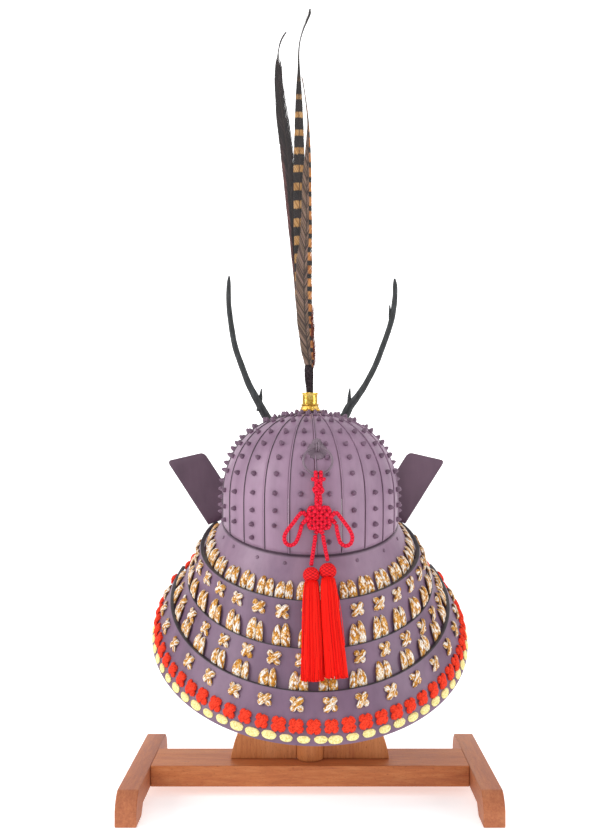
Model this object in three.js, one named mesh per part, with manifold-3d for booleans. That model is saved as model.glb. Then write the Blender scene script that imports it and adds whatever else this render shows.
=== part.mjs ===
// A samurai helmet (kabuto) on its wooden stand, in millimetres, +Z up.
// The helmet faces -Y, so +Y is its back, where the ring, bow and tassels hang.
import * as THREE from 'three';
import { mergeVertices } from 'three/addons/utils/BufferGeometryUtils.js';
import Module from 'manifold-3d';

const wasm = await Module();
wasm.setup();

// Driving dimensions
const deg = Math.PI / 180;
const gap = 0.3; // between pieces that touch
const helmetTurn = 3 * deg; // how far the helmet is turned on its stand

const bowl = {
  radius: 117, // half width at the widest level
  deep: 1.035, // front-to-back stretch
  midHeight: 387, // level of the widest girth
  domeHeight: 115.5, // crown above that level
  fullness: 2.3, // superellipse exponent of the dome
  tuck: 0.5, // how far the wall draws in 40 mm below the girth
  wall: 2,
  plates: 22,
  crownHole: 12,
  ridge: { width: 2.2, height: 1.1 }, // the raised edge of each plate
};
const rim = { backZ: 328.2, sideZ: 362 }; // the bowl's lower edge slopes up from back to front
const socket = { baseLow: 505.3, baseHigh: 515, top: 530.3, radius: 10.25, flare: 13.5, bore: 8.2 };

// Edges of the neck guard: half width, reach to the back, level at the back and at the sides
const flangeFoot = { side: 143.5, back: 147, backZ: 268, sideZ: 319 };
const lames = [
  {
    name: 'neck_lame_1', end: 117,
    top: { side: 146, back: 150, backZ: 277.7, sideZ: 329 },
    foot: { side: 160.5, back: 164, backZ: 214, sideZ: 280 },
  },
  {
    name: 'neck_lame_2', end: 113,
    top: { side: 162.5, back: 168, backZ: 225, sideZ: 288 },
    foot: { side: 181, back: 186, backZ: 170, sideZ: 256 },
  },
  {
    name: 'neck_lame_3', end: 109,
    top: { side: 185, back: 190, backZ: 181, sideZ: 264 },
    foot: { side: 209, back: 209, backZ: 124.7, sideZ: 217 },
  },
];
const lameWall = 2;
const lameSteps = 36;
const flangeEnd = 122; // degrees from the back to the flange's front ends

const stand = {
  foot: { width: 26.6, height: 40, length: 251, middle: 4.5, nose: 20, slope: 17, pad: 35, relief: 12 },
  beam: { length: 418, depth: 70, low: 12.6, middle: -5 },
  post: { radius: 18, middle: -1, top: 440 },
  brace: { radius: 106.7, drop: 12, thickness: 18, back: 3.5 },
};

const finish = {
  lacquer: { color: '#86677e', roughness: 0.55, metalness: 0.2 },
  darkLacquer: { color: '#5a4050', roughness: 0.5, metalness: 0.1 },
  gilt: { color: '#e0b24a', roughness: 0.3, metalness: 1 },
  antler: { color: '#34373a', roughness: 0.7, metalness: 0 },
  redSilk: { color: '#f01f35', roughness: 0.8, metalness: 0 },
  darkFeather: { color: '#2a2224', roughness: 0.8, metalness: 0 },
  brownFeather: { color: '#9a6a45', roughness: 0.8, metalness: 0 },
  wood: { color: '#b2683f', roughness: 0.55, metalness: 0 },
};

const group = new THREE.Group();
const helmet = new THREE.Group();
helmet.rotation.z = helmetTurn;
group.add(helmet);

function add(parent, name, geometry, look) {
  const mesh = new THREE.Mesh(geometry, new THREE.MeshStandardMaterial(look));
  mesh.name = name;
  parent.add(mesh);
  return mesh;
}

// Geometry helpers

function bare(geometry) {
  const g = geometry.clone();
  for (const key of Object.keys(g.attributes)) if (key !== 'position') g.deleteAttribute(key);
  return mergeVertices(g, 1e-4);
}

function toSolid(geometry) {
  const g = bare(geometry);
  const vertProperties = new Float32Array(g.attributes.position.array);
  const triVerts = new Uint32Array(g.index.array);
  return new wasm.Manifold(new wasm.Mesh({ numProp: 3, vertProperties, triVerts }));
}

function toGeometry(solid) {
  const mesh = solid.getMesh();
  const g = new THREE.BufferGeometry();
  g.setAttribute('position', new THREE.BufferAttribute(new Float32Array(mesh.vertProperties), 3));
  g.setIndex(new THREE.BufferAttribute(new Uint32Array(mesh.triVerts), 1));
  return g;
}

const join = (first, ...rest) => toGeometry(rest.reduce((s, g) => s.add(toSolid(g)), toSolid(first)));
const cut = (first, ...rest) => toGeometry(rest.reduce((s, g) => s.subtract(toSolid(g)), toSolid(first)));

function fromPoints(points, faces) {
  const g = new THREE.BufferGeometry();
  g.setAttribute('position', new THREE.Float32BufferAttribute(points.flatMap((p) => p.toArray()), 3));
  let volume = 0;
  for (const [a, b, c] of faces) {
    volume += points[a].dot(new THREE.Vector3().crossVectors(points[b], points[c]));
  }
  g.setIndex(faces.flatMap((f) => (volume < 0 ? [f[0], f[2], f[1]] : f)));
  return g;
}

// A closed wall between two grids of points, outer[row][column] and inner[row][column].
function wallBetween(outer, inner) {
  const rows = outer.length;
  const columns = outer[0].length;
  const points = [...outer.flat(), ...inner.flat()];
  const at = (side, i, j) => side * rows * columns + i * columns + j;
  const faces = [];
  const quad = (a, b, c, d) => faces.push([a, b, c], [a, c, d]);
  for (let i = 0; i < rows - 1; i++) {
    for (let j = 0; j < columns - 1; j++) {
      quad(at(0, i, j), at(0, i + 1, j), at(0, i + 1, j + 1), at(0, i, j + 1));
      quad(at(1, i, j), at(1, i, j + 1), at(1, i + 1, j + 1), at(1, i + 1, j));
    }
  }
  const last = columns - 1;
  for (let i = 0; i < rows - 1; i++) {
    quad(at(0, i, 0), at(1, i, 0), at(1, i + 1, 0), at(0, i + 1, 0));
    quad(at(0, i, last), at(0, i + 1, last), at(1, i + 1, last), at(1, i, last));
  }
  for (let j = 0; j < last; j++) {
    quad(at(0, 0, j), at(0, 0, j + 1), at(1, 0, j + 1), at(1, 0, j));
    quad(at(0, rows - 1, j), at(1, rows - 1, j), at(1, rows - 1, j + 1), at(0, rows - 1, j + 1));
  }
  return fromPoints(points, faces);
}

// The same grid moved along its own normals.
function offsetGrid(grid, distance) {
  const rows = grid.length;
  const columns = grid[0].length;
  return grid.map((row, i) => row.map((p, j) => {
    const along = grid[Math.min(i + 1, rows - 1)][j].clone().sub(grid[Math.max(i - 1, 0)][j]);
    const across = row[Math.min(j + 1, columns - 1)].clone().sub(row[Math.max(j - 1, 0)]);
    return p.clone().addScaledVector(along.cross(across).normalize(), distance);
  }));
}

// A solid through rings of points, closed at both ends.
function loft(rings) {
  const sides = rings[0].length;
  const points = rings.flat();
  const faces = [];
  for (let i = 0; i < rings.length - 1; i++) {
    for (let j = 0; j < sides; j++) {
      const a = i * sides + j;
      const b = i * sides + ((j + 1) % sides);
      faces.push([a, b, b + sides], [a, b + sides, a + sides]);
    }
  }
  const end = (rings.length - 1) * sides;
  for (let j = 1; j < sides - 1; j++) {
    faces.push([0, j + 1, j], [end, end + j, end + j + 1]);
  }
  return fromPoints(points, faces);
}

// A bar along a route of stations { x, y, z, wide, thick }, round or flattened towards the back.
function bar(stations, sides) {
  const centres = stations.map((s) => new THREE.Vector3(s.x, s.y, s.z));
  const rings = stations.map((s, i) => {
    const ahead = centres[Math.min(i + 1, centres.length - 1)];
    const behind = centres[Math.max(i - 1, 0)];
    const along = ahead.clone().sub(behind).normalize();
    const side = new THREE.Vector3(0, 1, 0).cross(along).normalize();
    const out = along.clone().cross(side);
    return Array.from({ length: sides }, (_, k) => {
      const turn = (2 * Math.PI * (k + 0.5)) / sides;
      return centres[i].clone()
        .addScaledVector(side, (Math.cos(turn) * s.wide) / 2)
        .addScaledVector(out, (Math.sin(turn) * (s.thick ?? s.wide)) / 2);
    });
  });
  return loft(rings);
}

function tube(route, diameter, steps) {
  const curve = new THREE.CatmullRomCurve3(route.map((p) => new THREE.Vector3(...p)));
  const section = new THREE.Shape();
  for (let k = 0; k < 8; k++) {
    const turn = (k * Math.PI) / 4;
    section[k ? 'lineTo' : 'moveTo']((Math.cos(turn) * diameter) / 2, (Math.sin(turn) * diameter) / 2);
  }
  section.closePath();
  return new THREE.ExtrudeGeometry(section, { steps, extrudePath: curve });
}

// A turned solid about the vertical axis from [radius, height] pairs that start and end on it.
function turned(profile, segments) {
  const points = profile.map(([r, z]) => new THREE.Vector2(r, z));
  return new THREE.LatheGeometry(points, segments).rotateX(Math.PI / 2);
}

const mix = (a, b, t) => a + (b - a) * t;

// The bowl: a superellipse dome on a wall that draws in a little, cut by the sloping rim

function bowlRadius(z) {
  const up = (z - bowl.midHeight) / bowl.domeHeight;
  if (up > 0) return bowl.radius * (1 - up ** bowl.fullness) ** (1 / bowl.fullness);
  return bowl.radius - bowl.tuck * ((bowl.midHeight - z) / 40) ** 2;
}

const edgeZ = (edge, turn) => mix(edge.backZ, edge.sideZ, 1 - Math.cos(turn));

// The meridian runs from 0 at the rim to 1 at the crown hole, in even steps of the dome's angle.
function bowlPoint(turn, t, out) {
  const low = edgeZ(rim, turn);
  const power = 2 / bowl.fullness;
  const crown = Math.acos((bowl.crownHole / bowl.radius) ** (1 / power));
  const start = (low - bowl.midHeight) / bowl.domeHeight;
  const first = start > 0 ? Math.asin(start ** (1 / power)) : start;
  const angle = mix(first, crown, t);
  const z = bowl.midHeight + bowl.domeHeight * (angle > 0 ? Math.sin(angle) ** power : angle);
  const r = bowlRadius(z);
  const slope = (bowlRadius(Math.min(z + 0.05, 502.4)) - bowlRadius(z - 0.05)) / 0.1;
  const size = Math.hypot(1, slope);
  const reach = r + out / size;
  return new THREE.Vector3(
    reach * Math.sin(turn), reach * bowl.deep * Math.cos(turn), z - (out * slope) / size,
  );
}

function bowlPlate(index) {
  const width = 360 / bowl.plates;
  const clear = gap / 2 / bowl.radius / deg;
  const low = index * width + clear;
  const high = (index + 1) * width - clear;
  const ridge = bowl.ridge.width / bowl.radius / deg;
  const across = [
    { at: low, out: 0 },
    { at: mix(low, high, 0.5), out: 0 },
    { at: high - ridge, out: 0 },
    { at: high - ridge, out: bowl.ridge.height },
    { at: high, out: bowl.ridge.height },
  ];
  const steps = 9;
  const side = (out) => Array.from({ length: steps + 1 }, (_, i) => across.map((c, j) => {
    return bowlPoint(c.at * deg, i / steps, out === null ? c.out : -out);
  }));
  return wallBetween(side(null), side(bowl.wall));
}

for (let i = 0; i < bowl.plates; i++) {
  add(helmet, `bowl_plate_${String(i + 1).padStart(2, '0')}`, bowlPlate(i), finish.lacquer);
}

// Crown ring, socket base and ferrule

const crown = { inner: 5, outer: 15.5, low: 503.8, high: 505 };
add(helmet, 'crown_ring', turned([
  [crown.inner, crown.low], [crown.outer, crown.low], [crown.outer, crown.high],
  [crown.inner, crown.high], [crown.inner, crown.low],
], 20), finish.lacquer);

add(helmet, 'socket_base', turned([
  [0, socket.baseLow], [socket.flare, socket.baseLow], [socket.flare, socket.baseLow + 2.5],
  [12, 509.5], [10.8, 512.5], [11.6, 513.6], [11.6, socket.baseHigh], [0, socket.baseHigh],
], 20), finish.gilt);

add(helmet, 'plume_socket', turned([
  [0, socket.baseHigh + gap], [socket.radius, socket.baseHigh + gap], [socket.radius, 528.4],
  [socket.radius + 0.6, 528.8], [socket.radius + 0.6, socket.top], [socket.bore, socket.top],
  [socket.bore, 518], [0, 518],
], 20), finish.gilt);

// The plume: a bound stem and three long tail feathers, each a thin blade

const stemTop = 567.6;
add(helmet, 'feather_stem', bar([
  { x: 0, y: 0, z: 518 + gap, wide: 11 },
  { x: 0, y: 0, z: 532, wide: 11.5 },
  { x: 1, y: 0, z: 548, wide: 12.6 },
  { x: 1.6, y: 0, z: stemTop, wide: 12.8 },
], 10), finish.darkFeather);

const feathers = [
  {
    name: 'feather_dark', y: -2.8, look: finish.darkFeather,
    stations: [
      { z: stemTop + gap, x: 1.5, half: 2 }, { z: 590, x: 5, half: 3.5 }, { z: 641, x: 13, half: 5 },
      { z: 676, x: 15.5, half: 5.8 }, { z: 733, x: 20, half: 7 }, { z: 789, x: 25, half: 8 },
      { z: 857, x: 31.3, half: 9 }, { z: 923, x: 39.5, half: 8.2 }, { z: 963, x: 43, half: 5.4 },
      { z: 996, x: 41, half: 2 }, { z: 1016, x: 31, half: 1 },
    ],
  },
  {
    name: 'feather_barred', y: 0, look: finish.brownFeather,
    stations: [
      { z: stemTop + gap, x: 2, half: 2 }, { z: 590, x: 6, half: 3.5 }, { z: 644, x: 12, half: 6 },
      { z: 715, x: 13.5, half: 7.5 }, { z: 782, x: 14, half: 8 }, { z: 849, x: 14.5, half: 7.4 },
      { z: 910, x: 14.8, half: 5.6 }, { z: 945, x: 15, half: 4 }, { z: 982, x: 14.9, half: 2.6 },
      { z: 1010, x: 11.5, half: 2 }, { z: 1030, x: 5, half: 1.8 }, { z: 1046, x: -0.3, half: 1.6 },
    ],
  },
  {
    name: 'feather_brown', y: 2.8, look: finish.brownFeather,
    stations: [
      { z: stemTop + gap, x: 1.8, half: 4 }, { z: 584, x: 4, half: 7 }, { z: 600, x: 6, half: 9 },
      { z: 619, x: 7.5, half: 10.3 }, { z: 644, x: 8.3, half: 11 }, { z: 750, x: 8.4, half: 11 },
      { z: 829, x: 6.4, half: 9 }, { z: 877, x: 5.5, half: 6.8 }, { z: 911, x: 6, half: 3.8 },
      { z: 954, x: 11.5, half: 1 },
    ],
  },
];
const quill = 2; // thickness along the middle of a feather
const vane = 0.8; // thickness at its edges

for (const feather of feathers) {
  const side = (sign) => feather.stations.map(({ z, x, half }) => [-1, 0, 1].map((across) => (
    new THREE.Vector3(
      x + across * half, feather.y + (sign * (across ? vane : quill)) / 2, z,
    )
  )));
  add(helmet, feather.name, wallBetween(side(1), side(-1)), feather.look);
}

// Flange and lames: walls between two tilted ellipses

function edgePoint(edge, turn) {
  return new THREE.Vector3(
    edge.side * Math.sin(turn), edge.back * Math.cos(turn), edgeZ(edge, turn),
  );
}

const between = (a, b, t) => ({
  side: mix(a.side, b.side, t), back: mix(a.back, b.back, t),
  backZ: mix(a.backZ, b.backZ, t), sideZ: mix(a.sideZ, b.sideZ, t),
});

// Rows of points from one front end round the back to the other
function around(end, across) {
  return Array.from({ length: lameSteps + 1 }, (_, i) => across(mix(-end, end, i / lameSteps) * deg));
}

for (const lame of lames) {
  const grid = around(lame.end, (turn) => [edgePoint(lame.top, turn), edgePoint(lame.foot, turn)]);
  add(helmet, lame.name, wallBetween(grid, offsetGrid(grid, -lameWall)), finish.lacquer);
}

// The flange's collar stands inside the bowl, and its skirt flares out from just under the rim.
function flangePoint(turn, t) {
  const top = bowlPoint(turn, 0, 0);
  const foot = edgePoint(flangeFoot, turn);
  const p = top.lerp(foot, t);
  p.z -= 3 + 10 * t * (1 - t);
  return p;
}

const flangeGrid = around(flangeEnd, (turn) => {
  const collarTop = bowlPoint(turn, 0.06, -bowl.wall - 2.5 * gap);
  const collarFoot = bowlPoint(turn, 0, -bowl.wall - 2.5 * gap);
  collarFoot.z -= 1.8;
  return [collarTop, collarFoot, ...[0, 0.3, 0.65, 1].map((t) => flangePoint(turn, t))];
});
add(helmet, 'flange', wallBetween(flangeGrid, offsetGrid(flangeGrid, -lameWall)), finish.lacquer);

// Turned-back wings: a tab on the flange's front end, a bend, and a flat board

const wing = {
  wall: 2, corner: 6, tabFrom: 113, tabTo: 123,
  innerTop: [146.6, -88, 449], outerTop: [198.6, -80, 437],
  innerRoot: [101, -80, 380], outerRoot: [139.3, -69.6, 347.3],
};

function wingSide(sign) {
  const place = ([x, y, z]) => new THREE.Vector3(x, y, z);
  const tab = (share, turn) => {
    const p = flangePoint(turn * deg, mix(0.12, 0.6, share));
    const out = new THREE.Vector3(Math.sin(turn * deg), Math.cos(turn * deg), 0.6).normalize();
    return p.addScaledVector(out, gap * 3);
  };
  const grid = [0, 0.12, 0.5, 0.88, 1].map((share) => {
    const from = tab(share, wing.tabFrom);
    const to = tab(share, wing.tabTo);
    const root = place(wing.innerRoot).lerp(place(wing.outerRoot), share);
    const forward = to.clone().sub(from).normalize();
    const bend = to.clone().addScaledVector(forward, 9);
    const row = [from, to];
    for (const t of [0.3, 0.6, 1]) {
      row.push(to.clone().multiplyScalar((1 - t) ** 2)
        .addScaledVector(bend, 2 * t * (1 - t)).addScaledVector(root, t * t));
    }
    const rounded = [
      { short: wing.corner, inset: 0 }, { short: 2, inset: 0.035 }, { short: 0, inset: 0.12 },
    ];
    for (const { short, inset } of rounded) {
      const s = mix(inset, 1 - inset, share);
      const tip = place(wing.innerTop).lerp(place(wing.outerTop), s);
      const base = place(wing.innerRoot).lerp(place(wing.outerRoot), s);
      row.push(tip.clone().addScaledVector(base.sub(tip).normalize(), short));
    }
    return row;
  });
  const geometry = wallBetween(grid, offsetGrid(grid, -wing.wall));
  if (sign > 0) return geometry;
  return toGeometry(toSolid(geometry).mirror([1, 0, 0]));
}

add(helmet, 'turned_wing_left', wingSide(1), finish.darkLacquer);
add(helmet, 'turned_wing_right', wingSide(-1), finish.darkLacquer);

// Visor, plain

const visor = { from: 130, reach: 42, fall: 16, wall: 2, steps: 20, clear: bowl.ridge.height + 2 * gap };
const visorGrid = Array.from({ length: visor.steps + 1 }, (_, i) => {
  const share = i / visor.steps;
  const turn = mix(visor.from, 360 - visor.from, share) * deg;
  const reach = 3 + visor.reach * Math.sin(Math.PI * share) ** 0.7;
  const out = new THREE.Vector3(Math.sin(turn), Math.cos(turn), 0);
  const onBowl = bowlPoint(turn, 0.1, visor.clear + visor.wall);
  const root = bowlPoint(turn, 0, visor.clear + visor.wall);
  const edge = root.clone().addScaledVector(out, reach);
  edge.z -= (visor.fall * reach) / visor.reach;
  return [onBowl, root, root.clone().lerp(edge, 0.5).add(new THREE.Vector3(0, 0, 2)), edge];
});
add(helmet, 'visor', wallBetween(visorGrid, offsetGrid(visorGrid, -visor.wall)), finish.lacquer);

// Antlers in a plain bracket on the brow

const bracket = { low: 428, high: 450, inner: 118, outer: 133, half: 17 };
const bracketShape = new THREE.Shape();
bracketShape.absarc(0, 0, bracket.inner, (270 - bracket.half) * deg, (270 + bracket.half) * deg, false);
bracketShape.absarc(0, 0, bracket.outer, (270 + bracket.half) * deg, (270 - bracket.half) * deg, true);
const bracketBody = new THREE.ExtrudeGeometry(bracketShape, {
  depth: bracket.high - bracket.low, bevelEnabled: false, curveSegments: 6,
}).translate(0, 0, bracket.low);
add(helmet, 'antler_bracket', bracketBody, finish.gilt);

const antlers = [
  {
    name: 'antler_left',
    stations: [
      { x: 24, y: -123, z: bracket.high + gap, wide: 13 }, { x: 24, y: -123, z: 457, wide: 13 },
      { x: 30, y: -120, z: 465, wide: 12.8 }, { x: 42, y: -115, z: 479, wide: 12.6 },
      { x: 60, y: -107, z: 503, wide: 12.3 }, { x: 71, y: -102, z: 524, wide: 11 },
      { x: 84, y: -97, z: 549, wide: 9.2 }, { x: 93.5, y: -93, z: 573.5, wide: 8.6 },
      { x: 102.5, y: -90, z: 601, wide: 8.4 }, { x: 108, y: -88, z: 629, wide: 8 },
      { x: 111.5, y: -86, z: 663, wide: 7.2 }, { x: 111, y: -85, z: 700, wide: 5 },
    ],
    tines: [[
      { x: 67, y: -104, z: 514, wide: 6.5 }, { x: 66, y: -101.5, z: 528, wide: 5.6 },
      { x: 64.8, y: -100, z: 540.5, wide: 2.8 },
    ]],
  },
  {
    name: 'antler_right',
    stations: [
      { x: -24, y: -123, z: bracket.high + gap, wide: 13 }, { x: -24, y: -123, z: 457, wide: 13 },
      { x: -29, y: -120, z: 465, wide: 13 }, { x: -40, y: -116, z: 479, wide: 13 },
      { x: -56.5, y: -107, z: 502, wide: 13 }, { x: -63, y: -104.5, z: 515, wide: 12.3 },
      { x: -72, y: -101, z: 527, wide: 10.2 }, { x: -84, y: -97, z: 544.5, wide: 8.8 },
      { x: -96.6, y: -93, z: 568, wide: 8.3 }, { x: -107.4, y: -90, z: 594.7, wide: 8 },
      { x: -116, y: -88, z: 618, wide: 8 }, { x: -123.4, y: -87, z: 645, wide: 8.6 },
      { x: -126.9, y: -86, z: 670, wide: 7.2 }, { x: -126.3, y: -85, z: 698.5, wide: 5.2 },
    ],
    tines: [
      [
        { x: -63, y: -104, z: 514, wide: 6.5 }, { x: -62.5, y: -101.5, z: 528, wide: 5.4 },
        { x: -63.4, y: -100, z: 541.8, wide: 2.6 },
      ],
      [
        { x: -120, y: -87, z: 632, wide: 5 }, { x: -119.8, y: -86.5, z: 648, wide: 4.4 },
        { x: -119.4, y: -86, z: 660.4, wide: 3 },
      ],
    ],
  },
];
for (const antler of antlers) {
  const tines = antler.tines.map((stations) => bar(stations, 6));
  add(helmet, antler.name, join(bar(antler.stations, 8), ...tines), finish.antler);
}

// Ring, staple, bow and tassels at the back

const ring = { x: -3.5, y: 115.4, z: 442.5, outer: 38.5, wire: 3, lean: 23 * deg };
const ringRadius = (ring.outer - ring.wire) / 2;

function ringBody(wire, segments) {
  return new THREE.TorusGeometry(ringRadius, wire / 2, 8, segments)
    .rotateX(Math.PI / 2 + ring.lean)
    .translate(ring.x, ring.y, ring.z);
}
add(helmet, 'cord_ring', ringBody(ring.wire, 28), finish.lacquer);

const ringTop = { y: ring.y - ringRadius * Math.sin(ring.lean), z: ring.z + ringRadius * Math.cos(ring.lean) };
const stapleZ = ringTop.z + 5;
const stapleY = bowlRadius(stapleZ) * bowl.deep + 3.8;
const staplePlate = new THREE.BoxGeometry(11, 2, 8).rotateX(0.68).translate(ring.x, stapleY, stapleZ);
const stapleLoop = tube([
  [ring.x, stapleY, stapleZ], [ring.x, ringTop.y - 1.6, ringTop.z + 5.4],
  [ring.x, ringTop.y + 3.2, ringTop.z + 3.8], [ring.x, ringTop.y + 4.4, ringTop.z - 0.4],
  [ring.x, ringTop.y + 2, ringTop.z - 3.8], [ring.x, ringTop.y - 0.4, ringTop.z - 4.4],
], 2.2, 10);
add(helmet, 'ring_staple', join(staplePlate, stapleLoop), finish.lacquer);

const bow = { x: -3.4, y: 128.4, flat: 0.55 };
const hanger = turned([
  [0, 394.4], [5.2, 394.4], [4.4, 399], [5, 402], [7.4, 405], [7.4, 411], [5.5, 414.5], [6, 416.5],
  [9.2, 419], [9.2, 422], [6, 425], [6, 428], [4, 431.5], [0, 431.5],
], 12).scale(1, bow.flat, 1).translate(bow.x, bow.y, 0);
const bowlClear = new THREE.BoxGeometry(40, 10, 60).translate(bow.x, 117, 424);
add(helmet, 'bow_hanger', cut(hanger, ringBody(ring.wire + 2 * gap, 28), bowlClear), finish.redSilk);

const knot = { x: -4.4, z: 373.7, wide: 35, tall: 40, deep: 9, cut: 12 };
const knotShape = new THREE.Shape();
const halfWide = knot.wide / 2;
const halfTall = knot.tall / 2;
knotShape.moveTo(halfWide, halfTall - knot.cut);
knotShape.lineTo(halfWide - knot.cut, halfTall);
knotShape.lineTo(knot.cut - halfWide, halfTall);
knotShape.lineTo(-halfWide, halfTall - knot.cut);
knotShape.lineTo(-halfWide, knot.cut - halfTall);
knotShape.lineTo(knot.cut - halfWide, -halfTall);
knotShape.lineTo(halfWide - knot.cut, -halfTall);
knotShape.lineTo(halfWide, knot.cut - halfTall);
knotShape.closePath();
const knotBody = new THREE.ExtrudeGeometry(knotShape, { depth: knot.deep, bevelEnabled: false })
  .rotateX(Math.PI / 2)
  .translate(knot.x, bow.y + knot.deep / 2, knot.z);
add(helmet, 'bow_knot', knotBody, finish.redSilk);

// Routes of the bow's free cords, in the helmet's own frame
const cordDiameter = 4.8;
const cords = [
  {
    name: 'bow_loop_left',
    route: [
      [15.6, 128.4, 381.4], [21, 129, 376], [27, 130, 368], [33.5, 130.4, 360], [37.6, 130.6, 352],
      [36.4, 130.6, 344.4], [31, 130.6, 341], [25, 130.6, 343.4], [21.4, 130.2, 350],
      [18.6, 129.4, 358], [16.8, 128.6, 366],
    ],
  },
  {
    name: 'bow_loop_right',
    route: [
      [-24.4, 128.4, 381.4], [-29.6, 129, 375], [-36, 130, 366.5], [-41.8, 130.4, 358], [-44.4, 130.6, 350],
      [-42, 130.6, 342.4], [-36, 130.6, 340], [-30.4, 130.6, 343.4], [-27.8, 130.2, 350],
      [-26, 129.4, 358], [-25, 128.6, 366],
    ],
  },
  {
    name: 'tassel_cord_left',
    route: [
      [0.4, 128.4, 353.3], [0.4, 128.4, 350], [2, 129.6, 340], [3.4, 131, 331], [4.8, 134, 323], [5.9, 137.6, 317.2],
    ],
  },
  {
    name: 'tassel_cord_right',
    route: [
      [-9.2, 128.4, 353.3], [-9.2, 128.4, 350], [-10.8, 129.8, 341], [-12, 131.4, 334],
      [-13.2, 134.2, 328], [-14, 136.8, 322.4],
    ],
  },
];
for (const cord of cords) {
  add(helmet, cord.name, tube(cord.route, cordDiameter, 14), finish.redSilk);
}

const tassels = [
  {
    name: 'tassel_left',
    stations: [
      { x: 6.1, y: 138, z: 316.6, wide: 6, thick: 6 }, { x: 6, y: 141, z: 312.4, wide: 16.4, thick: 13 },
      { x: 6, y: 144, z: 307, wide: 19, thick: 16 }, { x: 6, y: 147, z: 301.4, wide: 17, thick: 14 },
      { x: 6, y: 149, z: 298, wide: 15, thick: 12.5 }, { x: 6.4, y: 155, z: 286, wide: 19.5, thick: 13.5 },
      { x: 6.8, y: 167, z: 258, wide: 21.6, thick: 14 }, { x: 6.8, y: 181, z: 226, wide: 24.4, thick: 14 },
      { x: 7.2, y: 195, z: 193, wide: 27, thick: 15 },
    ],
  },
  {
    name: 'tassel_right',
    stations: [
      { x: -14.2, y: 137.4, z: 321.8, wide: 6, thick: 6 }, { x: -14, y: 140, z: 317, wide: 16.4, thick: 13 },
      { x: -13.8, y: 143, z: 311.4, wide: 19, thick: 16 }, { x: -13.8, y: 146, z: 305.6, wide: 17, thick: 14 },
      { x: -13.8, y: 148, z: 301.6, wide: 15, thick: 12.5 }, { x: -14.3, y: 154.4, z: 289, wide: 19.5, thick: 13.5 },
      { x: -15.6, y: 167, z: 260, wide: 21.6, thick: 14 }, { x: -18, y: 181, z: 228, wide: 24.4, thick: 14 },
      { x: -20.3, y: 195, z: 196, wide: 27, thick: 15 },
    ],
  },
];
for (const tassel of tassels) add(helmet, tassel.name, bar(tassel.stations, 10), finish.redSilk);

// The stand: two feet, a beam, a post with two braces, and the block inside the bowl

function footBody() {
  const { width, height, length, nose, slope, pad, relief } = stand.foot;
  const half = length / 2;
  const shape = new THREE.Shape();
  shape.moveTo(-half, 0);
  shape.lineTo(pad - half, 0);
  shape.lineTo(pad - half + relief, relief);
  shape.lineTo(half - pad - relief, relief);
  shape.lineTo(half - pad, 0);
  shape.lineTo(half, 0);
  shape.lineTo(half, nose);
  shape.quadraticCurveTo(half - slope * 0.3, nose + (height - nose) * 0.75, half - slope, height);
  shape.lineTo(slope - half, height);
  shape.quadraticCurveTo(slope * 0.3 - half, nose + (height - nose) * 0.75, -half, nose);
  shape.closePath();
  return new THREE.ExtrudeGeometry(shape, { depth: width, bevelEnabled: false, curveSegments: 4 })
    .rotateX(Math.PI / 2)
    .rotateZ(Math.PI / 2);
}

const footInside = stand.beam.length / 2 + gap;
add(group, 'stand_foot_left', footBody(), finish.wood)
  .position.set(footInside, stand.foot.middle, 0);
add(group, 'stand_foot_right', footBody(), finish.wood)
  .position.set(-footInside - stand.foot.width, stand.foot.middle, 0);

const beamHeight = stand.foot.height - stand.beam.low;
add(group, 'stand_beam', new THREE.BoxGeometry(stand.beam.length, stand.beam.depth, beamHeight), finish.wood)
  .position.set(0, stand.beam.middle, stand.beam.low + beamHeight / 2);

const postLow = stand.foot.height + gap;
add(group, 'stand_post', turned([
  [0, postLow], [stand.post.radius, postLow], [stand.post.radius, stand.post.top], [0, stand.post.top],
], 32), finish.wood).position.set(0, stand.post.middle, 0);

function bracePlate(sign) {
  const { radius, drop, thickness, back } = stand.brace;
  const shape = new THREE.Shape();
  const start = Math.asin((drop + gap) / radius);
  const inside = Math.acos(6 / radius);
  shape.moveTo(6, drop + gap);
  shape.lineTo(radius * Math.cos(start), drop + gap);
  shape.absarc(0, 0, radius, start, inside, false);
  shape.closePath();
  const plate = new THREE.ExtrudeGeometry(shape, { depth: thickness, bevelEnabled: false, curveSegments: 16 })
    .rotateX(Math.PI / 2)
    .translate(0, back, stand.foot.height - drop);
  const post = turned([
    [0, 30], [stand.post.radius + gap, 30], [stand.post.radius + gap, 160], [0, 160],
  ], 32).translate(0, stand.post.middle, 0);
  const half = cut(plate, post);
  return sign > 0 ? half : toGeometry(toSolid(half).mirror([1, 0, 0]));
}
add(group, 'stand_brace_left', bracePlate(1), finish.wood);
add(group, 'stand_brace_right', bracePlate(-1), finish.wood);

add(group, 'stand_head_block', turned([
  [0, stand.post.top + gap], [26, stand.post.top + gap], [62, 464], [68, 474], [64, 484.4],
  [50, 491.6], [30, 497], [14, 499.2], [0, 499.6],
], 24), finish.wood);

// The origin goes to the middle of the base of the whole object's box.
group.updateMatrixWorld(true);
const box = new THREE.Box3().setFromObject(group, true);
const middle = box.getCenter(new THREE.Vector3());
group.position.set(-middle.x, -middle.y, -box.min.z);

export default group;
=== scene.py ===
# A kabuto seen from behind on its wooden stand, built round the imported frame. Helmet sizes are
# millimetres about the helmet's own upright axis: +Y is its back, +X its wearer's left.
import math

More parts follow.
